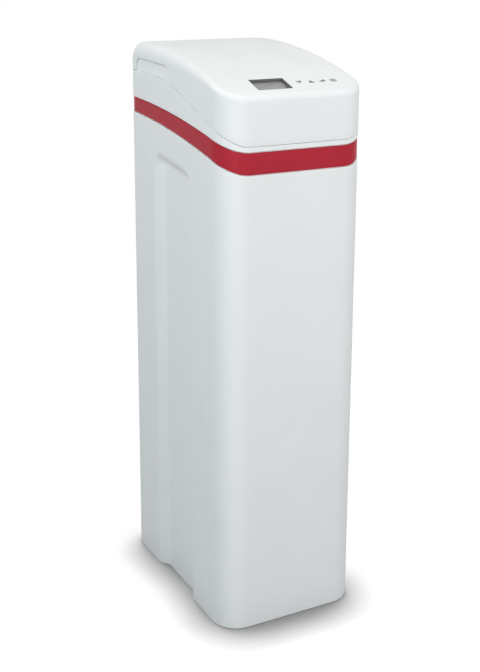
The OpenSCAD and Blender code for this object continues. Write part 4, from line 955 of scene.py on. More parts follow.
@dataclass
class Cabinet:
    """Tall cabinet with its side recesses, rear window and the neck that carries the band."""

    recess: SideRecess = SideRecess()
    wall: float = 3.5
    floor: float = 5.0
    foot_r: float = 2.5
    foot_steps: int = 4
    edge_r: float = 1.0
    edge_steps: int = 3
    neck_inset: float = 4.0
    neck_t: float = 2.5
    neck_rise: float = 6.0
    neck_steps: int = 3
    shoulder: float = 10.0
    window: Size = (166.0, 66.0)
    window_r: float = 8.0
    port_z: float = 929.0
    overflow_hole: RearHole = RearHole(80.0, -229.0, 9.2)
    power_hole: RearHole = RearHole(-70.0, -65.0, 7.2)
    screw_at: tuple[float, float] = (89.0, 25.0)
    screw_r: float = 2.1
    hole_steps: int = 40
    cut_past: float = 5.0
    side_step: float = 3.0
    even_to: float = 840.0
    even_step: float = 60.0
    outer_rows: int = 34
    inner_rows: int = 26
    end_rings: tuple[float, ...] = (0.8, 0.55, 0.3, LAST_RING)

    def wall_rows(self, low: float, high: Array, steps: int) -> Array:
        """Heights of wall rows: even up to a level, then spread up to the curved edge.

        Args:
            low: height of the first row.
            high: height of the edge at each column.
            steps: rows above the level.

        Returns:
            Heights by row and column.
        """
        even = stations([low, self.even_to], self.even_step)
        spread = np.linspace(0.0, 1.0, steps + 1)[1:, None]
        level = np.broadcast_to(even[:, None], (len(even), len(high)))
        return np.concatenate([level, self.even_to + (high - self.even_to) * spread])

    def skin(self) -> Skin:
        """Closed shell: up the outside, over the shoulder and neck, down the inside and over the floor.

        Each row is the plan drawn in by its inset plus the recess depth at that height.

        Returns:
            The skin.
        """
        columns = PLAN.columns(stations(PLAN.side_ends, self.side_step))
        low = BAND_LOW.at(columns.y) - GROOVE
        neck_top = BAND_TOP.at(columns.y) + self.neck_rise
        level = np.zeros_like(low)
        foot, edge = quarter(self.foot_steps)[:, None], quarter(self.edge_steps)[1:, None]
        neck = np.linspace(0.0, 1.0, self.neck_steps + 1)[:, None]
        outer = self.wall_rows(self.foot_r, low - self.edge_r, self.outer_rows)[1:]
        inner = self.wall_rows(self.floor, low - self.shoulder, self.inner_rows)[::-1]
        rows = [
            (self.foot_r * (1 - np.sin(foot)), self.foot_r * (1 - np.cos(foot)) + level),
            (np.zeros((len(outer), 1)), outer),
            (self.edge_r * (1 - np.cos(edge)), low - self.edge_r * (1 - np.sin(edge))),
            (np.full_like(neck, self.neck_inset), low + (neck_top - low) * neck),
            (np.full((2, 1), self.neck_inset + self.neck_t), np.stack([neck_top, low - self.shoulder])),
            (np.full((len(inner), 1), self.wall), inner),
        ]
        inset, z = (np.concatenate(r) for r in zip(*rows))
        body = columns.rows(inset + self.recess.depth_at(columns.y, z), z)
        foot_end, floor_end = (rings_to_centre(ring, self.end_rings) for ring in (body[0], body[-1]))
        return Skin(np.concatenate([foot_end[::-1], body, floor_end]))

    def openings(self) -> list[Skin]:
        """Blocks through the rear wall: the window and the holes of overflow, power inlet and screws.

        Returns:
            Closed skins.
        """
        rear = Axes((0.0, PLAN.half_y, self.port_z), (-1.0, 0.0, 0.0), (0.0, 0.0, 1.0))
        ends = (-self.wall - self.cut_past, self.cut_past)
        across, up = self.screw_at
        screws = [RearHole(a * across, b * up, self.screw_r) for a in (-1, 1) for b in (-1, 1)]
        made = [rear.prism(rounded_rectangle(*self.window, self.window_r), *ends)]
        for hole in (self.overflow_hole, self.power_hole, *screws):
            outline = disc(hole.radius, self.hole_steps)
            made.append(rear.shifted(hole.across, hole.up).prism(outline, *ends))
        return made

    def build(self) -> None:
        """Makes the cabinet shell."""
        shell = mesh_of("cabinet_shell", [self.skin()])
        cut(shell, self.openings())
        settle(shell, Finishes.white_shell, Place("base", "white_shell", ("cabinet",)))


@dataclass
class Band:
    """Glossy red band that lies a little below the cabinet's surface."""

    section: RingSection = RingSection(inset=1.0, thickness=2.9, edge_r=0.7, face_steps=5)
    gap: float = 0.1
    side_step: float = 6.0

    def build(self) -> None:
        """Makes the band."""
        columns = PLAN.columns(stations(PLAN.side_ends, self.side_step))
        low, top = BAND_LOW.at(columns.y) + self.gap, BAND_TOP.at(columns.y) - self.gap
        band = mesh_of("red_trim", [self.section.carry(columns, low, top)])
        settle(band, Finishes.red_band, Place("base", "red_band", ("trim_band",)), SOFT_CREASE)


# Collar and lid


@dataclass(frozen=True)
class Notch:
    """Finger notch in each side of the lid, over the level edge of the collar."""

    front: float = 12.0
    level: float = 1079.0
    slope: float = 1.7
    length: float = 158.0
    height: float = 27.0
    radius: float = 14.0
    foot_rows: int = 4
    arc_steps: int = 8
    run_step: float = 8.0

    @property
    def rear(self) -> float:
        """Rear end of the notch."""
        return self.front + self.length

    def path(self, rise: float) -> Array:
        """Outline from the front foot to the rear foot: up, a quarter arc, along, a quarter arc and down.

        Args:
            rise: height above the level edge at which it starts.

        Returns:
            Points of y and z.
        """
        up = np.linspace(rise, self.height - self.radius, self.foot_rows)[:-1]
        start = np.stack([np.zeros_like(up), up], -1)
        centre = np.array([self.radius, self.height - self.radius])
        arc = centre + circle(self.radius, np.pi - quarter(self.arc_steps))
        run = stations([self.radius, self.length - self.radius], self.run_step)[1:-1]
        along = np.stack([run, np.full_like(run, self.height)], -1)
        half = np.concatenate([start, arc])
        mirrored = np.stack([self.length - half[::-1, 0], half[::-1, 1]], -1)
        local = np.concatenate([half, along, mirrored])
        tilt = np.radians(self.slope)
        turned = np.array([[np.cos(tilt), np.sin(tilt)], [-np.sin(tilt), np.cos(tilt)]])
        return np.array([self.front, self.level]) + local @ turned


@dataclass(frozen=True)
class Seam:
    """Line between collar and lid: a climbing curve that ends in the level edge under the notch."""

    curve: EdgeCurve = EdgeCurve(979.0, 40.0, 20.0, 9.0)
    notch: Notch = Notch()
    gap: float = 1.0

    def at(self, y: Array) -> Array:
        """Heights of the seam: the lower of the curve and the level edge."""
        ledge = self.notch.level + (y - self.notch.front) * np.tan(np.radians(self.notch.slope))
        return np.minimum(self.curve.at(y), ledge)

    def lid_edge(self, y: Array) -> Array:
        """Heights of the lid's lower edge, half the gap above the seam."""
        return self.at(y) + self.gap / 2


SEAM = Seam()
HINGE_X = 85.0
HINGE_Y = 237.0


@dataclass(frozen=True)
class Knuckle:
    """Hinge knuckle: a bored barrel joined by a web to the wall above or below the seam."""

    length: float
    radius: float = 6.0
    bore: float = 2.56
    reach: float = 8.5
    web_low: float = 1.0
    web_high: float = 5.5
    steps: int = 64

    def outline(self, turn: Array) -> Array:
        """Radius of the outline: the farther of the barrel's circle and the web's edges.

        Args:
            turn: angles round the pin.

        Returns:
            A radius for each angle.
        """
        climb = np.pi - turn
        first, last = np.arctan2(self.web_low, self.reach), np.pi / 2
        on_web = (climb >= first) & (climb <= last)
        climb = np.clip(climb, first, last)
        nearest = np.finfo(float).eps
        web = np.minimum(self.reach / np.maximum(np.cos(climb), nearest), self.web_high / np.sin(climb))
        return np.where(on_web, np.maximum(self.radius, web), self.radius)

    def skin(self, middle: float, side: int) -> Skin:
        """Closed ring along X round the pin's bore.

        Args:
            middle: x of the knuckle's middle.
            side: 1 where the web lies above the seam, -1 where it lies below.

        Returns:
            The skin.
        """
        turn = np.linspace(0.0, 2 * np.pi, self.steps, endpoint=False)
        outer, hole = self.outline(turn), np.full_like(turn, self.bore)
        radius = np.stack([hole, outer, outer, hole])
        x = middle + self.length * np.array([[-0.5], [-0.5], [0.5], [0.5]])
        y = HINGE_Y + radius * np.cos(turn)
        z = SEAM.at(np.array(PLAN.half_y)) + side * radius * np.sin(turn)
        return Skin(np.stack([np.broadcast_to(x, y.shape), y, z], -1), loop=True)


@dataclass
class Collar:
    """White ring over the band, with the lip that locates the lid, finger pockets and hinge knuckles."""

    section: RingSection = RingSection(inset=0.0, thickness=3.9, edge_r=0.9, face_steps=7)
    side_step: float = 6.0
    notch_pair: float = 0.4
    lip_inset: float = 3.5
    lip_t: float = 2.5
    lip_rise: float = 8.0
    lip_root: float = 3.0
    scoop_x: float = 151.6
    scoop_depth: float = 9.0
    scoop_t: float = 2.5
    scoop_margin: float = 4.0
    scoop_drop: float = 8.0
    scoop_root: float = 24.0
    scoop_top: float = 1115.7
    scoop_ramp: float = 26.0
    bend_rise: float = 4.0
    bend_fall: float = 3.0
    bend_depth: float = 0.2
    bend_end: float = 1.2
    cheek: float = 3.5
    knuckle: Knuckle = Knuckle(10.0)
    knuckle_off: float = 15.5

    def columns(self) -> Columns:
        """Columns with a close pair at each end of the notch.

        Returns:
            The columns.
        """
        notch = SEAM.notch
        front, rear = PLAN.side_ends
        ends = (notch.front - self.notch_pair, notch.front, notch.rear, notch.rear + self.notch_pair)
        return PLAN.columns(stations([front, *ends, rear], self.side_step))

    def ring(self) -> Skin:
        """Closed ring between band and seam with round outer edges.

        Returns:
            The skin.
        """
        columns = self.columns()
        low, top = BAND_TOP.at(columns.y) + GROOVE, SEAM.at(columns.y) - SEAM.gap / 2
        return self.section.carry(columns, low, top)

    def lip(self) -> Skin:
        """Closed upright ring inside the lid: a rectangle carried round the plan, lower at the notches.

        Returns:
            The skin.
        """
        columns = self.columns()
        notch = SEAM.notch
        past = self.notch_pair / 2
        beside = (columns.y > notch.front - past) & (columns.y < notch.rear + past)
        seam = SEAM.at(columns.y)
        top = np.where(beside, notch.level - SEAM.gap, seam + self.lip_rise)
        low = np.where(beside, np.minimum(seam, notch.level), seam) - self.lip_root
        inset = self.lip_inset + self.lip_t * np.array([[0], [0], [1], [1]])
        return Skin(columns.rows(inset, np.stack([low, top, top, low])), loop=True)

    def scoop(self, side: int) -> Skin:
        """Finger pocket behind a notch: a bent plate's section carried along Y, flat at both cheeks.

        Args:
            side: -1 for the left, 1 for the right.

        Returns:
            The skin.
        """
        bend = SEAM.notch.level - self.scoop_drop
        top, root = self.scoop_top - bend, -self.scoop_root
        front = np.array([[root, 0.0], [-self.bend_fall, 0.0], [0.0, self.bend_depth],
                          [self.bend_rise, self.bend_end], [top, self.scoop_depth]])
        back = self.scoop_t + np.array([self.scoop_depth, self.bend_depth, 0.0])
        start, end = SEAM.notch.front - self.scoop_margin, SEAM.notch.rear + self.scoop_margin
        ramp = self.cheek + self.scoop_ramp
        y = np.array([start, start + self.cheek, start + ramp, end - ramp, end - self.cheek, end])[:, None]
        hollow = np.array([0, 0, 1, 1, 0, 0])[:, None]
        depth = np.concatenate([hollow * front[:, 1], np.broadcast_to(back, (len(y), len(back)))], 1)
        z = bend + np.concatenate([front[:, 0], [top, -self.scoop_t, root]])
        return Skin(np.stack(np.broadcast_arrays(side * (self.scoop_x - depth), y, z), -1))

    def build(self) -> None:
        """Makes the collar's ring, lip, pockets and knuckles."""
        white, body = Finishes.white_shell, Place("base", "white_shell")
        ring = mesh_of("collar_ring", [self.ring()])
        settle(ring, white, Place("base", "white_shell", ("collar",)), SOFT_CREASE)
        settle(mesh_of("collar_lip", [self.lip()]), white, body)
        for side, name in ((-1, "left"), (1, "right")):
            settle(mesh_of("finger_scoop_" + name, [self.scoop(side)]), white, body)
        middles = [s * HINGE_X + e * self.knuckle_off for s in (-1, 1) for e in (-1, 1)]
        settle(mesh_of("collar_knuckles", [self.knuckle.skin(m, -1) for m in middles]), white, body)


@dataclass
class Lid:
    """Arched lid: skirt from the seam, round top edge, finger notches, panel openings and knuckles."""

    wall: float = 3.0
    front_h: float = 91.0
    top_r: float = 1000.0
    crest_back: float = 90.0
    front_edge_r: float = 9.0
    side_edge_r: float = 22.0
    rear_edge_r: float = 38.0
    rim_r: float = 0.9
    fan: float = 2.5
    knuckle: Knuckle = Knuckle(20.0)
    front_step: float = 7.0
    rear_step: float = 3.0
    end_step: float = 8.0
    rim_steps: int = 4
    edge_steps: int = 10
    inner_edge_steps: int = 5
    wall_steps: int = 8
    inner_wall_steps: int = 5
    crown_rings: int = 16
    crown_end: float = 0.1

    @property
    def crest_y(self) -> float:
        """Depth of the highest line of the lid."""
        return PLAN.half_y - self.crest_back

    def top_z(self, y: Array | float) -> Array:
        """Height of the arched top: a circular arc about the crest line that starts over the front seam.

        Args:
            y: places along the depth.

        Returns:
            A height for each place.
        """
        drop = self.top_r - np.sqrt(self.top_r ** 2 - (self.crest_y + PLAN.half_y) ** 2)
        crest = SEAM.curve.start + self.front_h + drop
        return crest - self.top_r + np.sqrt(self.top_r ** 2 - (np.asarray(y) - self.crest_y) ** 2)

    def edge_r(self, y: Array) -> Array:
        """Radius of the top edge: it grows from the front along the sides, and more round the rear corners.

        Args:
            y: places along the depth.

        Returns:
            A radius for each place.
        """
        front, rear = PLAN.side_ends
        marks = [front, SEAM.notch.front, rear, PLAN.half_y - PLAN.rear_r / 2]
        radii = [self.front_edge_r, self.side_edge_r, self.side_edge_r, self.rear_edge_r]
        return np.interp(y, marks, radii)

    def edge_path(self) -> tuple[Array, Array]:
        """Lower edge of a side from front to rear, and the place on the top edge of each of its points.

        Returns:
            Points of y and z, and places y that fan out from the ends of the notch.
        """
        notch = SEAM.notch
        front, rear = PLAN.side_ends
        opening = notch.path(SEAM.gap / 2)
        before = stations([front, opening[0, 0]], self.front_step)[:-1]
        after = stations([opening[-1, 0], rear], self.rear_step)[1:]
        ahead, behind = (np.stack([y, SEAM.lid_edge(y)], -1) for y in (before, after))
        tangent = np.gradient(opening, axis=0)
        spread = self.fan * (2 - (opening[:, 1] - notch.level) / notch.height)
        over = opening[:, 0] - spread * tangent[:, 1] / np.hypot(*tangent.T)
        before = np.interp(before, [front, opening[0, 0]], [front, over[0]])
        after = np.interp(after, [opening[-1, 0], rear], [over[-1], rear])
        return np.concatenate([ahead, opening, behind]), np.concatenate([before, over, after])

    def rim(self, columns: Columns, path: Array) -> tuple[Array, Array]:
        """Rim of the lid, and the direction within the wall that leads away from it.

        Args:
            columns: columns of the lid.
            path: lower edge of a side, as points of y and z.

        Returns:
            Points and directions.
        """
        base = columns.rows(np.zeros(1), SEAM.lid_edge(columns.y))
        lean = np.tile([0.0, 0.0, 1.0], (len(base), 1))
        tangent = np.gradient(path, axis=0)
        tangent /= np.linalg.norm(tangent, axis=1, keepdims=True)
        for part, order in ((columns.right, slice(None)), (columns.left, slice(None, None, -1))):
            base[part, 1:] = path[order]
            lean[part, 1] = -tangent[order, 1]
            lean[part, 2] = tangent[order, 0]
        return base, lean

    def edge(self, columns: Columns, inset: float, turn: float) -> Array:
        """One ring of the top edge, which is a quarter round about the drawn-in plan.

        Args:
            columns: columns of the lid.
            inset: distance below the outer surface.
            turn: angle of the quarter round, from the wall up.

        Returns:
            Points of the ring.
        """
        radius = self.edge_r(columns.y) - inset
        xy = columns.drawn_in(inset + radius * (1 - np.cos(turn)))
        z = self.top_z(xy[:, 1]) - inset - radius * (1 - np.sin(turn))
        return np.concatenate([xy, z[:, None]], -1)

    def crown(self, columns: Columns, inset: float) -> Array:
        """Rings of the arched top, from its edge to its middle.

        Args:
            columns: columns of the lid.
            inset: distance below the outer surface.

        Returns:
            Points by ring and column.
        """
        shares = np.append(np.linspace(1.0, self.crown_end, self.crown_rings)[1:], LAST_RING)
        rings = rings_to_centre(self.edge(columns, inset, np.pi / 2), shares)
        rings[..., 2] = self.top_z(rings[..., 1]) - inset
        return rings

    def skin(self) -> Skin:
        """Closed double skin from the middle of the top, down the outside, round the rim and back inside.

        Wall rows run straight from the top edge to the rim, whose outer edge is a small quarter round.

        Returns:
            The skin.
        """
        path, over = self.edge_path()
        columns = PLAN.columns(over, self.end_step)
        base, lean = self.rim(columns, path)
        out = np.concatenate([columns.out, np.zeros((len(base), 1))], -1)
        turn = quarter(self.rim_steps)
        inset = np.append(self.rim_r * (1 - np.cos(turn)), self.wall)[:, None, None]
        away = np.append(self.rim_r * (1 - np.sin(turn)), 0.0)[:, None, None]
        rims = base - inset * out + away * lean
        outer = np.stack([self.edge(columns, 0.0, a) for a in quarter(self.edge_steps)[::-1]])
        inner = np.stack([self.edge(columns, self.wall, a) for a in quarter(self.inner_edge_steps)])
        return Skin(np.concatenate([
            self.crown(columns, 0.0)[::-1], outer, between(outer[-1], rims[0], self.wall_steps), rims,
            between(rims[-1], inner[0], self.inner_wall_steps), inner, self.crown(columns, self.wall),
        ]))

    def build(self, panel: "ControlPanel") -> None:
        """Makes the lid shell with the panel's openings, its knuckles and the board's posts.

        Args:
            panel: control panel in the lid.
        """
        white, body = Finishes.white_shell, Place("lid", "white_shell")
        shell = mesh_of("lid_shell", [self.skin()])
        cut(shell, panel.openings())
        settle(shell, white, Place("lid", "white_shell", ("lid",)))
        knuckles = [self.knuckle.skin(s * HINGE_X, 1) for s in (-1, 1)]
        settle(mesh_of("lid_knuckles", knuckles), white, body)
        settle(mesh_of("board_posts", panel.posts()), white, body)


# Control panel


class Icon(Enum):
    """Plain signs printed on the keys, each named for its key."""

    DOWN = "key_down"
    UP = "key_up"
    RETURN = "key_return"
    MENU = "key_menu"


# Outlines of each sign, in shares of half its width and half its height
BAR_HALF = 0.25
BAR_PITCH = 0.75
SIGNS = {
    Icon.DOWN: [[(-1, 1), (0, -1), (1, 1)]],
    Icon.UP: [[(-1, -1), (1, -1), (0, 1)]],
    Icon.RETURN: [
        [(-1, -0.2), (0, -1), (0, 0.6)],
        [(0, -0.6), (1, -0.6), (1, 1), (0.4, 1), (0.4, 0.2), (0, 0.2)],
    ],
    Icon.MENU: [
        [(-1, m - BAR_HALF), (1, m - BAR_HALF), (1, m + BAR_HALF), (-1, m + BAR_HALF)]
        for m in (-BAR_PITCH, 0, BAR_PITCH)
    ],
}


@dataclass
class ControlPanel:
    """Sloping control panel in the lid: display, keys with printed signs and the board behind them."""

    lid: Lid
    back: float = 44.0
    display_x: float = -37.0
    display: Size = (73.0, 44.0)
    display_r: float = 1.5
    under_lid: float = 3.4
    bezel_t: float = 0.9
    bezel_fit: float = 0.05
    key_x: float = 25.0
    key_pitch: float = 24.7
    key: Size = (15.0, 12.0)
    key_r: float = 3.0
    key_gap: float = 0.4
    key_proud: float = 0.4
    print_t: float = 0.06
    icon: Size = (13.0, 10.2)
    board: Size = (224.0, 60.0)
    board_inset: float = 4.5
    board_depth: float = 13.0
    post_r: float = 4.0
    cut_below: float = 3.0
    cut_above: float = 5.0

    @property
    def axes(self) -> Axes:
        """Frame of the panel: X, up the slope, and out of the lid.

        Returns:
            The frame.
        """
        y = -PLAN.half_y + self.back
        tilt = np.arcsin((self.lid.crest_y - y) / self.lid.top_r)
        return Axes((0.0, y, float(self.lid.top_z(y))), (1.0, 0.0, 0.0), (0.0, np.cos(tilt), np.sin(tilt)))

    def key_axes(self, number: int) -> Axes:
        """Frame of one key."""
        return self.axes.shifted(self.key_x + number * self.key_pitch)

    def openings(self) -> list[Skin]:
        """Blocks through the lid for the display and the keys.

        Returns:
            Closed skins.
        """
        ends = (-self.under_lid - self.cut_below, self.cut_above)
        display = rounded_rectangle(*self.display, self.display_r)
        hole = rounded_rectangle(*(s + 2 * self.key_gap for s in self.key), self.key_r + self.key_gap)
        made = [self.axes.shifted(self.display_x).prism(display, *ends)]
        return made + [self.key_axes(i).prism(hole, *ends) for i in range(len(Icon))]

    def posts(self) -> list[Skin]:
        """Four round posts under the lid that carry the board.

        Returns:
            Closed skins.
        """
        x, y = (s / 2 - self.board_inset for s in self.board)
        ends = (-self.board_depth, -self.lid.wall / 2)
        places = [self.axes.shifted(a * x, b * y) for a in (-1, 1) for b in (-1, 1)]
        return [place.prism(disc(self.post_r), *ends) for place in places]

    def bezel(self) -> Skin:
        """Closed sleeve that lines the display's opening.

        Returns:
            The skin.
        """
        outer, inner = (rounded_rectangle(*(s - 2 * inset for s in self.display), self.display_r)
                        for inset in (self.bezel_fit, self.bezel_t))
        return self.axes.shifted(self.display_x).sleeve(outer, inner, -self.under_lid, 0.0)

    def sign(self, number: int, icon: Icon) -> list[Skin]:
        """Thin raised print of one key's sign, half sunk into the key.

        Args:
            number: place of the key in its row.
            icon: which sign.

        Returns:
            Closed skins.
        """
        ends = (self.key_proud - self.print_t, self.key_proud + self.print_t)
        outlines = [np.array(o) * np.array(self.icon) / 2 for o in SIGNS[icon]]
        return [self.key_axes(number).prism(o, *ends) for o in outlines]

    def build(self) -> None:
        """Makes the display bezel and the printed signs, and dresses the panel's nodes."""
        # The lining's dark grey is partly painted shade for the walls of the display's opening
        settle(mesh_of("display_bezel", [self.bezel()]), Finishes.bezel_grey_and_painted_shade, Place("lid", "dark_plastic"))
        for number, icon in enumerate(Icon):
            sign = mesh_of(icon.value + "_sign", self.sign(number, icon))
            settle(sign, Finishes.key_print, Place(icon.value, "dark_plastic"))
        dress(Finishes.white_shell, *(i.value for i in Icon))
        # The frame under the opening shares the lining's grey, which is partly painted shade
        dress(Finishes.bezel_grey_and_painted_shade, "display_frame")
        dress(Finishes.clear_window, "display_window")
        dress(Finishes.display_glass, "lcd_panel")
        dress(Finishes.circuit_board, "control_board")
        dress(Finishes.steel, "board_screws", "hinge_pins")


# Water works


@dataclass
class BrineTube:
    """Milky tube from the brine well to the valve: a round section carried along a cubic curve."""

    start: Point = (56.5, -150.5, 873.0)
    end: Point = (18.0, 20.0, 929.0)
    run: float = 20.3
    bend_start: Point = (-45.0, 0.0, 0.0)
    bend_end: Point = (0.0, -75.0, 0.0)
    radius: float = 4.75
    rings: int = 48
    sides: int = 24

    def skin(self) -> Skin:
        """Rings square to the route: the cubic's points, with both ends run on straight.

        Returns:
            The skin.
        """
        first, last = np.array(self.start), np.array(self.end)
        a = first - [self.run, 0.0, 0.0]
        b = last - [0.0, self.run, 0.0]
        t = np.linspace(0.0, 1.0, self.rings)[:, None]
        curve = ((1 - t) ** 3 * a + 3 * (1 - t) ** 2 * t * (a + self.bend_start)
                 + 3 * (1 - t) * t ** 2 * (b + self.bend_end) + t ** 3 * b)
        route = np.concatenate([first[None], curve, last[None]])
        along = np.gradient(route, axis=0)
        along /= np.linalg.norm(along, axis=1, keepdims=True)
        across = np.cross([0.0, 0.0, 1.0], along)
        across /= np.linalg.norm(across, axis=1, keepdims=True)
        up = np.cross(along, across)
        ring = disc(self.radius, self.sides)
        return Skin(route[:, None] + ring[None, :, :1] * across[:, None] + ring[None, :, 1:] * up[:, None])

    def build(self) -> None:
        """Makes the tube."""
        tube = mesh_of("brine_tube", [self.skin()])
        settle(tube, Finishes.milky_tube, Place("base", "pale_plastic", ("brine_line",)))


@dataclass
class PipeTail:
    """Pipe tail behind the cabinet: a flange, a plain neck and an outside pipe thread round a bore."""

    name: str
    node: str
    flange_r: float = 19.0
    flange_t: float = 5.0
    thread_r: float = 16.6
    thread_depth: float = 1.1
    thread_l: float = 26.0
    pitch: float = 2.309
    bore_r: float = 12.0
    rows_a_turn: int = 8
    sides: int = 64

    def skin(self) -> Skin:
        """Closed ring round Y with an outside thread.

        The thread's radius is a cosine of the way along over the pitch, less the turn. The ridges fade in
        and out over one pitch at both ends.

        Returns:
            The skin.
        """
        low, high = (np.array(corner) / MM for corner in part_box(self.node))
        middle = (low + high) / 2
        near, far = low[1], high[1]
        turn = np.linspace(0.0, 2 * np.pi, self.sides, endpoint=False)
        neck_r = self.thread_r - self.thread_depth
        along = stations([far - self.thread_l, far], self.pitch / self.rows_a_turn)[:, None]
        faded = np.minimum(np.minimum(far - along, along - far + self.thread_l) / self.pitch, 1.0)
        ridge = faded * (1 + np.cos(2 * np.pi * along / self.pitch - turn)) / 2
        flange_y = near + self.flange_t
        plain = np.array([[near, self.bore_r], [near, self.flange_r], [flange_y, self.flange_r],
                          [flange_y, neck_r]])
        mouth = np.array([[far, self.bore_r]])
        level = np.zeros_like(turn)
        y = np.concatenate([plain[:, :1], along, mouth[:, :1]]) + level
        thread = neck_r + self.thread_depth * ridge
        radius = np.concatenate([plain[:, 1:] + level, thread, mouth[:, 1:] + level])
        x, z = middle[0] + radius * np.cos(turn), middle[2] + radius * np.sin(turn)
        return Skin(np.stack([x, y, z], -1), loop=True)

    def build(self) -> None:
        """Makes the tail."""
        tail = mesh_of(self.name, [self.skin()])
        settle(tail, Finishes.dark_plastic, Place("base", "dark_plastic", (self.node,)))


class Works:
    """What the cabinet holds: resin vessel, valve with its drive, brine well and rear fittings."""

    def build(self) -> None:
        """Dresses the inner pieces and the rear fittings."""
        dress(Finishes.vessel, "resin_tank")
        dress(Finishes.resin_beads, "resin_bed")
        dress(Finishes.rubber_seal, "base_seal")
        dress(Finishes.steel, "cap_screws", "injector_screws", "cover_screws", "plate_screws",
              "motor_pinion")
        dress(Finishes.black_plastic, "tank_boot", "valve_body", "valve_cap", "injector_cover",
              "drive_cover", "union_nuts", "brine_nut", "overflow_nut", "power_inlet", "drive_plate")
        dress(Finishes.dark_plastic, "drive_motor", "drain_elbow", "rear_plate", "overflow_elbow",
              "valve_rotor")
        dress(Finishes.pale_plastic, "riser_tube", "lower_distributor", "upper_distributor", "idler_gear",
              "drive_gear", "brine_well", "brine_well_cap", "brine_valve", "pickup_tube", "air_check",
              "check_ball", "float", "float_rod", "salt_grid")


# Studio


@dataclass
class Lamp:
    """Square soft light: where it stands, what it looks at, its side, its power and its tint."""

    name: str
    at: Point
    aim: Point
    side: float
    power: float
    tint: Colour

    def build(self) -> None:
        """Makes the lamp, turned so that it faces its aim."""
        light = bpy.data.lights.new(self.name, "AREA")
        light.shape = "SQUARE"
        light.size = self.side
        light.energy = self.power
        light.color = self.tint
        made = bpy.data.objects.new(self.name, light)
        made.location = self.at
        made.rotation_euler = (Vector(self.aim) - Vector(self.at)).to_track_quat("-Z", "Y").to_euler()
        bpy.context.scene.collection.objects.link(made)


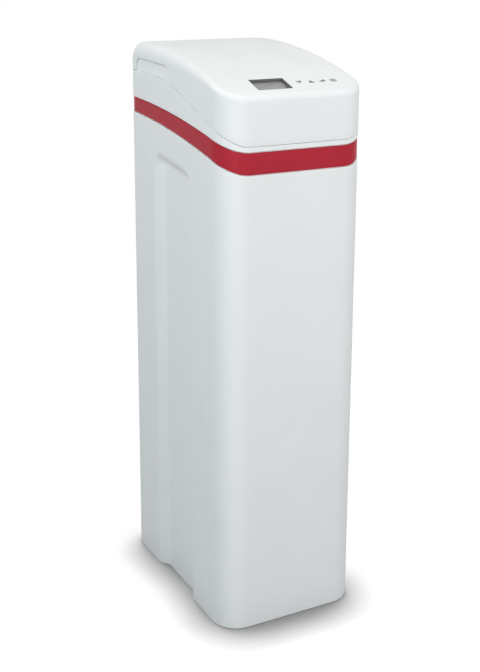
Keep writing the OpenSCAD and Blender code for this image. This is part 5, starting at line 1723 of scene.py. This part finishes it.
@dataclass
class Studio:
    """White floor and surround, soft lamps and the camera, in metres."""

    floor_side: float = 14.0
    floor_corner: float = 1.4
    floor_glow: float = 0.92
    floor_shade: float = 0.13
    floor_bounce: float = 0.28
    # Painted shadow in the floor's glow: its reach, darkest level, lean and samples, and the occlusion
    # range that it spans
    painted_shadow_reach: float = 0.105
    painted_shadow_depth: float = 0.08
    painted_shadow_lean: Point = (0.12, 0.42, 0.9)
    painted_shadow_samples: int = 8
    open_range: Span = (0.35, 0.90)
    fade: Span = (0.6, 1.5)
    world_light: float = 0.34
    world_tint: Colour = (0.92, 1.0, 1.12)
    camera_at: Point = (-1.0912, -2.0620, 1.3358)
    camera_right: Point = (0.88449, -0.46654, 0.00385)
    camera_down: Point = (-0.10977, -0.21611, -0.97018)
    focal_px: float = 1162.47
    centre_px: tuple[float, float] = (240.1, 235.0)
    image_px: tuple[int, int] = (480, 672)
    sensor: float = 36.0
    lamps: tuple[Lamp, ...] = (
        Lamp("key_light", (0.9, -2.85, 2.0), (0.0, 0.0, 0.95), 1.4, 51.0, (1.04, 1.0, 0.95)),
        Lamp("top_light", (0.2, 0.6, 3.2), (0.0, 0.0, 0.9), 1.6, 14.0, (1.12, 1.0, 0.88)),
        Lamp("side_light", (-2.4, -0.4, 2.0), (0.0, 0.0, 0.95), 1.2, 31.0, (1.0, 1.0, 0.95)),
        Lamp("back_light", (1.5, 2.7, 0.6), (0.0, 0.0, 0.6), 1.0, 40.0, (1.0, 1.0, 0.97)),
        Lamp("fill_light", (-1.84, -2.4, 1.05), (0.0, 0.0, 0.95), 1.4, 12.5, (0.94, 1.0, 1.0)),
    )

    def surround(self) -> None:
        """White world to the eye, with its own tint and strength as a light."""
        world = bpy.data.worlds.new("white_surround")
        world.use_nodes = True
        nodes = Nodes(world.node_tree)
        back = nodes.tree.nodes["Background"]
        seen = nodes.seen()
        nodes.join(nodes.blend(seen, self.world_tint, WHITE), back.inputs["Color"])
        nodes.join(nodes.remap(seen, UNIT, (self.world_light, 1.0)), back.inputs["Strength"])
        bpy.context.scene.world = world

    def floor_material(self) -> bpy.types.Material:
        """White to the eye with a painted shadow near the object, which fades out behind it; pale as a
        bounce.

        Returns:
            The material.
        """
        shader = Shader("studio_floor")
        seen = shader.seen()
        away = shader.node("ShaderNodeVectorMath", {0: shader.place()}, operation="LENGTH").outputs["Value"]
        far = shader.remap(away, self.fade, UNIT)
        near = shader.blend(far, (self.floor_shade,) * 3, BLACK)
        shader.link(shader.blend(seen, (self.floor_bounce,) * 3, near), "Base Color")
        # Painted shadow: an occlusion test darkens the floor's glow near the object, leaned so that it lies
        # deeper in front of the object than beside it
        lean = shader.node("ShaderNodeCombineXYZ", dict(enumerate(self.painted_shadow_lean))).outputs[0]
        open_sky = shader.node("ShaderNodeAmbientOcclusion", {
            "Distance": self.painted_shadow_reach, "Normal": lean,
        }, samples=self.painted_shadow_samples).outputs["AO"]
        painted_shadow = shader.remap(open_sky, self.open_range, (self.painted_shadow_depth, 1.0))
        glow = shader.remap(far, UNIT, (self.floor_glow, 1.0))
        glow_and_painted_shadow = shader.math("MULTIPLY", shader.math("MULTIPLY", seen, painted_shadow), glow)
        shader.link(glow_and_painted_shadow, "Emission Strength")
        shader.set(Emission_Color=(*WHITE, 1.0), Specular_IOR_Level=0.0, Roughness=1.0)
        return shader.material

    def floor(self) -> None:
        """Flat floor with round corners."""
        outline = rounded_rectangle(self.floor_side, self.floor_side, self.floor_corner)
        points = np.concatenate([outline, np.zeros((len(outline), 1))], -1)
        mesh = bpy.data.meshes.new("studio_floor")
        mesh.from_pydata(points.tolist(), [], [list(range(len(points)))])
        mesh.materials.append(self.floor_material())
        floor = bpy.data.objects.new("studio_floor", mesh)
        bpy.context.scene.collection.objects.link(floor)

    def camera(self) -> None:
        """Camera at the photograph's viewing angle."""
        data = bpy.data.cameras.new("camera")
        width, height = self.image_px
        data.sensor_width = self.sensor
        data.lens = self.focal_px * self.sensor / height
        data.shift_x = (width / 2 - self.centre_px[0]) / height
        data.shift_y = (self.centre_px[1] - height / 2) / height
        camera = bpy.data.objects.new("camera", data)
        right, down = Vector(self.camera_right), Vector(self.camera_down)
        turn = Matrix((right, -down, -right.cross(down))).transposed()
        camera.matrix_world = Matrix.Translation(Vector(self.camera_at)) @ turn.to_4x4()
        bpy.context.scene.collection.objects.link(camera)
        bpy.context.scene.camera = camera

    def build(self) -> None:
        """Makes the floor, the surround, the lamps and the camera."""
        self.surround()
        self.floor()
        for lamp in self.lamps:
            lamp.build()
        self.camera()
        bpy.context.scene.view_settings.view_transform = "Standard"


def main() -> None:
    """Builds the sub-assemblies in order, then the studio around them."""
    logging.basicConfig(level=logging.INFO, format="%(name)s: %(message)s")
    Cabinet().build()
    Band().build()
    Collar().build()
    lid = Lid()
    panel = ControlPanel(lid)
    lid.build(panel)
    panel.build()
    BrineTube().build()
    for side in ("inlet", "outlet"):
        PipeTail(side + "_pipe_tail", side + "_tail").build()
    Works().build()
    Studio().build()


if __name__ == "__main__":
    main()
